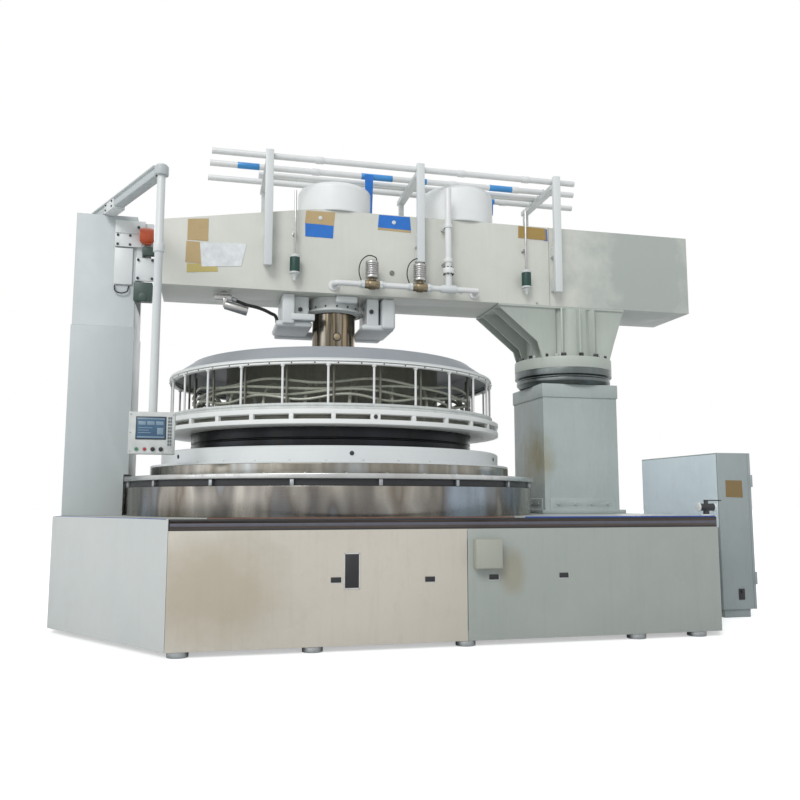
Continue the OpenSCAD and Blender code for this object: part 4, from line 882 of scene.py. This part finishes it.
# %% Lift tube and hanger
dressed("lift_tube", CHROME, 0.002)
PLUG_X, PLUG_Z = 0.002, 2.128
piece(Shape().stud(PLUG_X, PLUG_Z, -0.166, -0.172, 0.034, 28, 0.001), "plug_rim", DARK, "lift")
plug = Shape().stud(PLUG_X, PLUG_Z, -0.166, -0.1735, 0.026, 28, 0.001)
piece(plug.stud(PLUG_X, PLUG_Z, -0.17, -0.1755, 0.011, 6, 0.001), "tube_plug", BRONZE, "lift")
piece(Shape().blocks(
    ((-0.475, -0.2, 2.186), (-0.195, 0.215, 2.236), 0.022, 0, 4),
    ((0.195, -0.2, 2.186), (0.455, 0.215, 2.236), 0.022, 0, 4),
    ((-0.45, 0.19, 2.182), (0.43, 0.31, 2.232), 0.012, 0, 3),
    ((-0.43, -0.228, 2.205), (-0.335, 0.205, 2.4425), 0.014, 0, 3),
    ((-0.36, -0.237, 2.235), (-0.18, -0.17, 2.286), 0.008, 0, 3),
    ((-0.33, -0.15, 2.225), (-0.22, 0.14, 2.4424), 0.008, 0, 3),
    ((0.235, -0.195, 2.225), (0.33, 0.145, 2.4424), 0.008, 0, 3),
    ((0.35, -0.229, 2.195), (0.46, 0.205, 2.4425), 0.026, 0, 4)),
    "hanger_blocks", WHITE, SWING, ("hanger_plate",))
piece(Shape().block((-0.02, -0.25, 2.385), (0.152, -0.2, 2.4425), 0.015, steps=3), "guide_blocks", WHITE, SWING)
wheel("guide_collar", [(0.178, 2.318), (0.19, 2.318), (0.232, 2.33), (0.232, 2.346), (0.2, 2.352),
                       (0.2, 2.4425), (0.178, 2.4425)], PANEL, SWING, (), 0.003, 96)
ring_of(round_head(0.008, 6, 0.006), 14, 0.199, 2.368, "collar_bolts", DARK, SWING, 0.2)
heads = Shape().stud(-0.285, 2.335, -0.165, -0.14, 0.018, 6, 0.002)
piece(heads.stud(0.27, 2.335, -0.21, -0.185, 0.018, 6, 0.002), "hanger_bolts", BLACK, SWING)

# %% [markdown]
# ## Beam, domes and neck
# The beam is one enamelled box. Its sloped left end still wears masking paper and film from the
# paint shop. Two round covers sit on top, and at the right the ribbed neck stands on the
# slewing ring.

# %% Beam
dressed("beam", BEAM, 0.006, steps=3)
seam = Shape().block((1.742, -0.2895, 2.445), (1.745, -0.2875, 3.105), 0)
piece(seam.block((1.742, -0.288, 3.1065), (1.745, 0.288, 3.1078), 0), "beam_seam", SEAM, SWING)
FACE = -0.289
for name, material, ripple, *corners in (
        ("kraft_upper", KRAFT, 0.003, (-1.149, 2.79), (-0.998, 2.79), (-0.998, 2.965), (-1.149, 2.95)),
        ("kraft_middle", KRAFT, 0.003, (-1.158, 2.617), (-1.037, 2.612), (-1.037, 2.778), (-1.155, 2.78)),
        ("white_masking", FILM, 0.006, (-1.04, 2.59), (-0.75, 2.612), (-0.714, 2.79), (-1.056, 2.775)),
        ("yellow_masking", KRAFT_YELLOW, 0.003, (-1.146, 2.541), (-0.919, 2.56), (-0.93, 2.612),
         (-1.146, 2.608)),
        ("brown_masking", KRAFT, 0.003, (-0.275, 2.985), (-0.05, 2.98), (-0.039, 3.09), (-0.265, 3.088)),
        ("blue_masking_left", BLUE_FILM, 0.003, (-0.27, 2.882), (-0.055, 2.88), (-0.05, 2.983),
         (-0.272, 2.988)),
        ("brown_edge", KRAFT, 0.002, (0.301, 2.978), (0.57, 2.972), (0.57, 2.992), (0.301, 2.998)),
        ("blue_masking", BLUE_FILM, 0.003, (0.301, 2.996), (0.57, 2.99), (0.56, 3.10), (0.31, 3.10)),
        ("kraft_right", KRAFT_GOLD, 0.003, (1.477, 2.999), (1.72, 2.995), (1.715, 3.095), (1.48, 3.1)),
        ("blue_masking_right", VIOLET, 0.002, (1.702, 2.99), (1.736, 2.988), (1.733, 3.09), (1.70, 3.092))):
    patch(name, [(x, FACE, z) for x, z in corners], material, SWING, ripple)
studs("white_caps", WHITE, SWING, FACE - 0.008, FACE + 0.002, 0.016, 20, 0.002, (-0.155, 3.035), (0.43, 3.045))
studs("grey_cap", POST_GREY, SWING, FACE - 0.008, FACE + 0.002, 0.02, 20, 0.003, (0.415, 2.634))
studs("beam_bolts", ZINC, SWING, FACE - 0.008, FACE + 0.002, 0.009, 6, 0.001,
      (0.981, 2.514), (1.099, 2.505), (1.630, 2.46))

# %% Domes and neck
BEAM_TOP = 3.107
for name, x, top, nodes in (("dome_left", 0, 0.248, ("dome_covers",)), ("dome_right", 1.04, 0.31, ())):
    wheel(name, [(0.29, 0.0), (0.30, 0.0), (0.30, top - 0.04), (0.287, top - 0.013), (0.26, top), (0, top),
                 (0, top - 0.01), (0.255, top - 0.01), (0.29, top - 0.045)],
          DOME, SWING, nodes, 0.008, 128, (x, 0, BEAM_TOP))
    wheel(name + "_foot", rect(0.28, 0.312, 0, 0.01), WHITE, SWING, (), 0.002, 96, (x, 0, BEAM_TOP))
dressed("slew_neck", NECK, 0.003)
ring_of(Shape().bar((0, 0, 0), (0, 0, 0.03), 0.021, 6, 0.002), 16, 0.369, 2.018, "neck_bolts", BLACK, SWING,
        math.radians(-90), (SWING_X, 0, 0))
wheel("slewing_ring", [(0.202, 1.7955), (0.364, 1.7955), (0.390, 1.825), (0.390, 1.850), (0.372, 1.857),
                       (0.372, 1.869), (0.404, 1.875), (0.404, 1.9285), (0.202, 1.9285)],
      SLEW, "base", ("slew_ring",), 0.003, 128, (SWING_X, 0, 0))
dressed("pedestal", PEDESTAL, 0.004)
dressed("left_column", COLUMN, 0.005)

# %% [markdown]
# ## Latch, operator arm and panel
# Between the column and the beam sits the latch: bolted plates with a bail grip, an orange
# actuator and dark blocks. The operator panel hangs in front of the machine on a pole from a
# long arm.

# %% Latch
dress_all((("latch_housing", WHITE, 0.003), ("lock_cylinder", BOLT_GREEN, 0.003), ("lock_bolt", SATIN, 0.001)))
piece(Shape().blocks(
    ((-1.659, -0.302, 2.704), (-1.448, -0.288, 2.90), 0.003),
    ((-1.657, -0.299, 2.42), (-1.529, -0.288, 2.692), 0.003),
    ((-1.508, -0.300, 2.452), (-1.369, -0.282, 2.626), 0.003),
    ((-1.655, -0.309, 2.700), (-1.470, -0.301, 2.806), 0.002),
    ((-1.655, -0.318, 2.800), (-1.470, -0.301, 2.808), 0.002)), "latch_plates", WHITE, "base")
studs("latch_bolts", BLACK, "base", -0.315, -0.298, 0.010, 6, 0.001,
      (-1.638, 2.716), (-1.638, 2.784), (-1.552, 2.716), (-1.552, 2.784), (-1.495, 2.85),
      (-1.49, 2.47), (-1.49, 2.608), (-1.39, 2.47), (-1.39, 2.608))
grip = [(-1.650, -0.286, 2.408), (-1.648, -0.304, 2.396), (-1.640, -0.306, 2.366), (-1.600, -0.306, 2.352),
        (-1.560, -0.306, 2.366), (-1.552, -0.304, 2.396), (-1.550, -0.286, 2.408)]
piece(Shape().tube(smooth_path(grip, 6), 0.005, 10), "latch_grip", BLACK, "base")
orange = Shape().bar((-1.481, -0.338, 2.782), (-1.385, -0.338, 2.782), 0.052, 28, 0.006)
piece(orange.block((-1.465, -0.335, 2.722), (-1.40, -0.285, 2.843), 0.006), "latch_actuator", ORANGE, "base")
dark = Shape().blocks(((-1.462, -0.33, 2.64), (-1.378, -0.283, 2.703), 0.005),
                      ((-1.515, -0.31, 2.301), (-1.384, -0.235, 2.442), 0.006))
piece(dark.stud(-1.45, 2.33, -0.316, -0.305, 0.03, 20, 0.002), "latch_dark_blocks", LATCH_IRON, "base")

# %% Arm and pendant
ARM_LOW, ARM_HIGH, ARM_LENGTH = 2.9385, 2.9975, 1.2589
arm_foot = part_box("hmi_arm")[0][2]
dressed("hmi_pendant", WHITE, 0.002)
arm = Matrix.Translation((-1.85, 0, 0)) @ Matrix.Rotation(math.atan2(-1.13, 0.555), 4, "Z")
channel = Shape().block((0.0, -0.035, ARM_LOW), (ARM_LENGTH, 0.035, ARM_HIGH), 0.006, steps=3)
for x in (0, ARM_LENGTH):
    channel.bar((x, 0, ARM_LOW), (x, 0, ARM_HIGH), 0.045, 40, 0.004)
channel.bar((0, 0, arm_foot), (0, 0, ARM_LOW + 0.01), 0.022, 32, 0.001)
piece(channel.moved(arm), "hmi_arm_channel", COLUMN, "hmi_arm", ("hmi_arm",))
plate = Shape().blocks(((0.03, -0.05, 2.9965), (1.24, 0.05, 3.004), 0.002),
                       ((0.34, -0.043, 2.925), (0.52, 0.043, 3.0), 0.004))
piece(plate.moved(arm), "arm_top_plate", WHITE, "hmi_arm")
heads = Shape()
for x in (0.37, 0.49):
    for z in (2.945, 2.982):
        for side in (-1, 1):
            heads.stud(x, z, side * 0.042, side * 0.05, 0.007, 6, 0.001)
piece(heads.moved(arm), "arm_bolts", BLACK, "hmi_arm")

# %% Operator panel
FRONT = -1.185
dressed("hmi_panel", PANEL, 0.006, steps=3)
bezel = Shape().block((-1.389, FRONT - 0.004, 1.230), (-1.209, FRONT, 1.372), 0.002)
piece(bezel, "screen_bezel", BLACK, "pendant")
glass = Shape().block((-1.383, FRONT - 0.0052, 1.236), (-1.215, FRONT - 0.0035, 1.366), 0.0006)
piece(glass, "screen", GLASS, "pendant")
piece(Shape().faced((
    (-1.379, 1.354, -1.219, 1.361), (-1.374, 1.32, -1.33, 1.342), (-1.322, 1.32, -1.278, 1.342),
    (-1.27, 1.32, -1.226, 1.342), (-1.374, 1.30, -1.29, 1.304), (-1.374, 1.285, -1.31, 1.289),
    (-1.374, 1.27, -1.30, 1.274), (-1.262, 1.262, -1.226, 1.302), (-1.379, 1.241, -1.219, 1.249)),
    FRONT - 0.0062, FRONT - 0.005, 0.0003), "screen_marks", SCREEN_PALE, "pendant")
for name, x in (("panel_keys_1", -1.199), ("panel_keys_2", -1.186)):
    keys = Shape()
    for k in range(9):
        low = 1.193 + 0.0203 * k
        keys.block((x, FRONT - 0.004, low), (x + 0.010, FRONT, low + 0.015), 0.0015)
    piece(keys, name, KEY_GREY, "pendant")
studs("panel_screws", ZINC, "pendant", FRONT - 0.003, FRONT, 0.005, 16, 0.0008,
      (-1.42, 1.385), (-1.42, 1.272), (-1.42, 1.158), (-1.168, 1.385), (-1.168, 1.158))
rims = Shape()
for i in range(4):
    rims.lathe(rect(0.0095, 0.0145, 0, 0.002), 28)
    newest = list(rims.bm.verts)[-28 * 4:]
    place = Matrix.Translation((-1.381 + 0.048 * i, FRONT, 1.171)) @ Matrix.Rotation(math.radians(90), 4, "X")
    bmesh.ops.transform(rims.bm, matrix=place, verts=newest)
piece(rims, "control_rims", ZINC, "pendant")
dress_all((("button_start", START_GREEN, 0.0012), ("button_stop", STOP_RED, 0.0012),
           ("selector_left", BLACK, 0.001), ("selector_right", BLACK, 0.001)))

# %% [markdown]
# ## Cabinet and drain valve
# The electrical cabinet still has film on its side. Its front shows a square of brown paper and
# a black latch near the floor. A small drain valve stands on the right of the deck.

# %% Cabinet and valve
dress_all((("cabinet", CABINET, 0.006), ("cabinet_door", CABINET, 0.004), ("cabinet_handle", BLACK, 0.003),
           ("drain_valve", DARK, 0.002), ("drain_lever", BLACK, 0.001)))
for name, material, ripple, steps, corners in (
        ("cabinet_side_film", SIDE_FILM, 0.006, 24,
         [(2.7705, y, z) for y, z in ((0.13, 0.66), (-0.94, 0.66), (-0.94, 1.205), (0.13, 1.205))]),
        ("cabinet_paper", KRAFT_BROWN, 0.001, 8,
         [(x, -0.9545, z) for x, z in ((2.831, 0.885), (2.975, 0.88), (2.972, 1.008), (2.833, 1.01))])):
    patch(name, corners, material, "base", ripple, steps)
latch = Shape().block((2.90, -0.962, 0.13), (2.95, -0.953, 0.21), 0.004)
piece(latch.stud(2.925, 0.19, -0.975, -0.955, 0.012, 20, 0.002), "cabinet_latch", BLACK, "base")
unions = Shape()
for x in (2.235, 2.352):
    unions.bar((x, -1.5, 0.815), (x + 0.013, -1.5, 0.815), 0.03, 8, 0.002)
piece(unions.bar((2.3, -1.5, 0.755), (2.3, -1.5, 0.768), 0.04, 24, 0.002), "valve_unions", WHITE, "base")

# %% [markdown]
# ## Pipes over the beam
# Five pipes lie on three posts above the beam, held by U-bolts. Scraps of blue film hang from
# them. In front of the beam the feed line carries two valves with bright actuators, and two
# sight canisters hang on thin rods.

# %% Pipe rack
PIPE_Z = 3.485
FRONT_PIPE, MIDDLE_PIPE, REAR_PIPE = -0.33, -0.095, 0.21
dressed("pipe_posts", WHITE, 0.003)
dressed("pipe_rack", PIPE_WHITE, 0.0015)
clamps = Shape()
for x in (-0.557, 0.628, 1.785):
    for y, radius in ((FRONT_PIPE, 0.024), (MIDDLE_PIPE, 0.024), (REAR_PIPE, 0.024), (0.025, 0.018),
                      (0.08, 0.018)):
        middle = PIPE_Z - 0.024 + radius
        path = [(x, y - radius - 0.002, middle - radius)]
        path += [(x, y - (radius + 0.002) * math.cos(a), middle + (radius + 0.002) * math.sin(a))
                 for a in [math.pi * k / 10 for k in range(11)]]
        path.append((x, y + radius + 0.002, middle - radius))
        clamps.tube(path, 0.0028, 8)
piece(clamps, "pipe_u_bolts", ZINC, SWING)
couplings = Shape()
for x in (-0.2, 0.95, 1.5):
    for y in (FRONT_PIPE, MIDDLE_PIPE, REAR_PIPE):
        couplings.bar((x, y, PIPE_Z), (x + 0.06, y, PIPE_Z), 0.0285, 28, 0.002)
piece(couplings, "pipe_couplings", PIPE_WHITE, SWING)
wraps = Shape()
for start, end, y in ((-0.79, -0.62, MIDDLE_PIPE), (0.20, 0.46, MIDDLE_PIPE), (0.64, 0.75, MIDDLE_PIPE),
                      (1.15, 1.45, REAR_PIPE), (1.3, 1.5, MIDDLE_PIPE)):
    wraps.bar((start, y, PIPE_Z), (end, y, PIPE_Z), 0.0262, 24, 0.001)
piece(wraps, "film_wraps", PALE_BLUE, SWING)
for name, y, ripple, *corners in (
        ("film_tail", -0.122, 0.008, (0.235, 3.112), (0.285, 3.112), (0.295, 3.49), (0.225, 3.49)),
        ("film_tail_right", 0.185, 0.006, (1.36, 3.33), (1.43, 3.35), (1.435, 3.49), (1.335, 3.49))):
    patch(name, [(x, y, z) for x, z in corners], BLUE_FILM, SWING, ripple)

# %% Feed line
y, z = -0.385, 2.505
BEAM_SIDE = -0.288
RISER_X = 0.85
VALVES = (0.237, 0.617)
route = [(-0.045, 0.1), (-0.045, 0.04), (-0.033, 0.008), (0, 0), (0.3, 0), (0.6, 0), (1.045, 0),
         (1.078, 0.008), (1.09, 0.04), (1.09, 0.1)]
feed = Shape().tube(smooth_path([(x, y + back, z) for x, back in route], 8), 0.022, 18)
feed.bar((RISER_X, y, z), (RISER_X, y, 3.325), 0.026, 28, 0.003)
feed.bar((RISER_X, y, 2.628), (RISER_X, y, 2.672), 0.046, 32, 0.003)
for low in (2.72, 3.0):
    feed.block((RISER_X - 0.035, y, low), (RISER_X + 0.035, BEAM_SIDE, low + 0.03), 0.003)
    feed.bar((RISER_X, y, low), (RISER_X, y, low + 0.03), 0.034, 28, 0.002)
for x in (-0.045, 1.09):
    feed.stud(x, z, -0.30, BEAM_SIDE, 0.042, 28, 0.003)
piece(feed, "feed_pipes", PIPE_WHITE, SWING, ("feed_line",))
unions = Shape()
valves = Shape()
actuators = Shape()
wires = Shape()
for x in VALVES:
    for side in (-1, 1):
        unions.bar((x + side * 0.058, y, z), (x + side * 0.082, y, z), 0.034, 8, 0.003)
        unions.bar((x + side * 0.084, y, z), (x + side * 0.10, y, z), 0.028, 28, 0.002)
    valves.bar((x - 0.056, y, z), (x + 0.056, y, z), 0.033, 8, 0.004)
    valves.bar((x - 0.03, y, z), (x + 0.03, y, z), 0.039, 28, 0.01)
    valves.bar((x, y, z), (x, y, z + 0.052), 0.026, 6, 0.003)
    profile = [(0.0, z + 0.05), (0.05, z + 0.05)]
    for k in range(6):
        low = z + 0.066 + 0.017 * k
        profile += [(0.052, low), (0.046, low + 0.003), (0.046, low + 0.009), (0.052, low + 0.012)]
    profile += [(0.05, z + 0.178), (0.034, z + 0.189), (0.0, z + 0.189)]
    actuators.lathe(rounded(profile, 0.0015, 1), 36, (x, y, 0))
    wires.tube(smooth_path([
        (x - 0.078, y + 0.01, z + 0.02), (x - 0.10, y + 0.01, z + 0.10), (x - 0.085, y, z + 0.18),
        (x - 0.03, y, z + 0.228), (x + 0.03, y, z + 0.215), (x + 0.035, y, z + 0.17)], 6), 0.0045, 10)
unions.bar((RISER_X - 0.06, y, z), (RISER_X + 0.06, y, z), 0.033, 28, 0.004)
piece(unions, "feed_unions", WHITE, SWING)
piece(valves, "feed_valve_bodies", BRONZE, SWING)
piece(actuators, "feed_actuators", SATIN, SWING)
piece(wires, "valve_conduits", BLACK, SWING)
heads = Shape()
for k in range(8):
    a = math.radians(22.5 + 45 * k)
    spot = Vector((RISER_X + 0.037 * math.cos(a), y + 0.037 * math.sin(a), 2.618))
    heads.bar(spot, spot + Vector((0, 0, 0.064)), 0.006, 6, 0.001)
piece(heads, "flange_bolts", BLACK, SWING)

# %% Sight canisters
y = -0.349
cans = Shape()
caps = Shape()
rods = Shape()
for x in (-0.353, 1.518):
    cans.lathe(rounded(rect(0, 0.038, 2.57, 2.694), 0.006), 36, (x, y, 0))
    caps.lathe(rounded([(0, 2.508), (0.01, 2.508), (0.014, 2.53), (0.03, 2.562), (0.04, 2.563), (0.04, 2.576),
                        (0, 2.576)], 0.002), 36, (x, y, 0))
    lid = [(0, 2.688), (0.04, 2.688), (0.04, 2.702), (0.02, 2.716), (0, 2.716)]
    caps.lathe(rounded(lid, 0.002), 36, (x, y, 0))
    rods.bar((x, y, 2.71), (x, y, 3.22), 0.009, 18, 0.001)
    for low in (2.64, 2.877):
        rods.block((x - 0.012, y, low), (x + 0.012, BEAM_SIDE, low + 0.02), 0.002)
    rods.stud(x, 2.887, -0.292, BEAM_SIDE, 0.02, 20, 0.001)
piece(cans, "sight_glasses", GREEN, SWING, ("sight_canisters",))
piece(caps, "canister_caps", PANEL, SWING)
piece(rods, "canister_rods", SATIN, SWING)

# %% [markdown]
# ## The hydraulic hose under the beam
# A short black hose runs from a block under the beam down to the left hanger block. Both of its
# ends are fixed to the beam, so it keeps one shape at every pose.

# %% Hydraulic hose
HOSE_START, HOSE_END = (-0.82, -0.15, 2.395), (-0.454, -0.09, 2.234)
route = [HOSE_START, (-0.77, -0.15, 2.375), (-0.70, -0.15, 2.35), (-0.62, -0.148, 2.335),
         (-0.56, -0.14, 2.318), (-0.51, -0.12, 2.30), (-0.472, -0.10, 2.285), HOSE_END]
piece(Shape().tube(smooth_path(route, 6), 0.013, 14), "hydraulic_line", RUBBER, SWING, ("hydraulic_hose",))
block = Shape().blocks(((-0.945, -0.185, 2.372), (-0.81, -0.115, 2.42), 0.008),
                       ((-0.885, -0.18, 2.41), (-0.855, -0.12, 2.4425), 0.002))
block.bar((-0.86, -0.2, 2.33), (-0.69, -0.2, 2.285), 0.034, 28, 0.006)
piece(block.block((-0.875, -0.21, 2.32), (-0.845, -0.14, 2.385), 0.004), "hydraulic_block", SATIN, SWING)
nuts = Shape().bar((-0.812, -0.15, 2.392), (-0.775, -0.15, 2.377), 0.018, 6, 0.002)
piece(nuts.bar(HOSE_END, (-0.457, -0.09, 2.254), 0.018, 6, 0.002), "hose_nuts", ZINC, SWING)

# %% [markdown]
# ## Studio floor
# The floor is a plain pale sheet. For the camera it also glows a little, so it stays white while
# the machine's soft shadow still shows under the base.

# %% Floor
floor_mesh = bpy.data.meshes.new("studio_floor")
floor_mesh.from_pydata([(-60, -60, 0), (60, -60, 0), (60, 60, 0), (-60, 60, 0)], [], [(0, 1, 2, 3)])
floor = placed("studio_floor", floor_mesh)
floor_white, tree, shader = fresh_material("floor_white")
join(tree, shader, {"Base Color": (0.9, 0.9, 0.9), "Roughness": 0.9})
glow = result(tree, "ShaderNodeEmission", {"Color": (1, 1, 1), "Strength": 0.45})
both = result(tree, "ShaderNodeAddShader", {0: shader.outputs[0], 1: glow})
camera_ray = tree.nodes.new("ShaderNodeLightPath").outputs["Is Camera Ray"]
chosen = result(tree, "ShaderNodeMixShader", {"Fac": camera_ray, 1: shader.outputs[0], 2: both})
join(tree, tree.nodes["Material Output"], {"Surface": chosen})
floor_mesh.materials.append(floor_white)
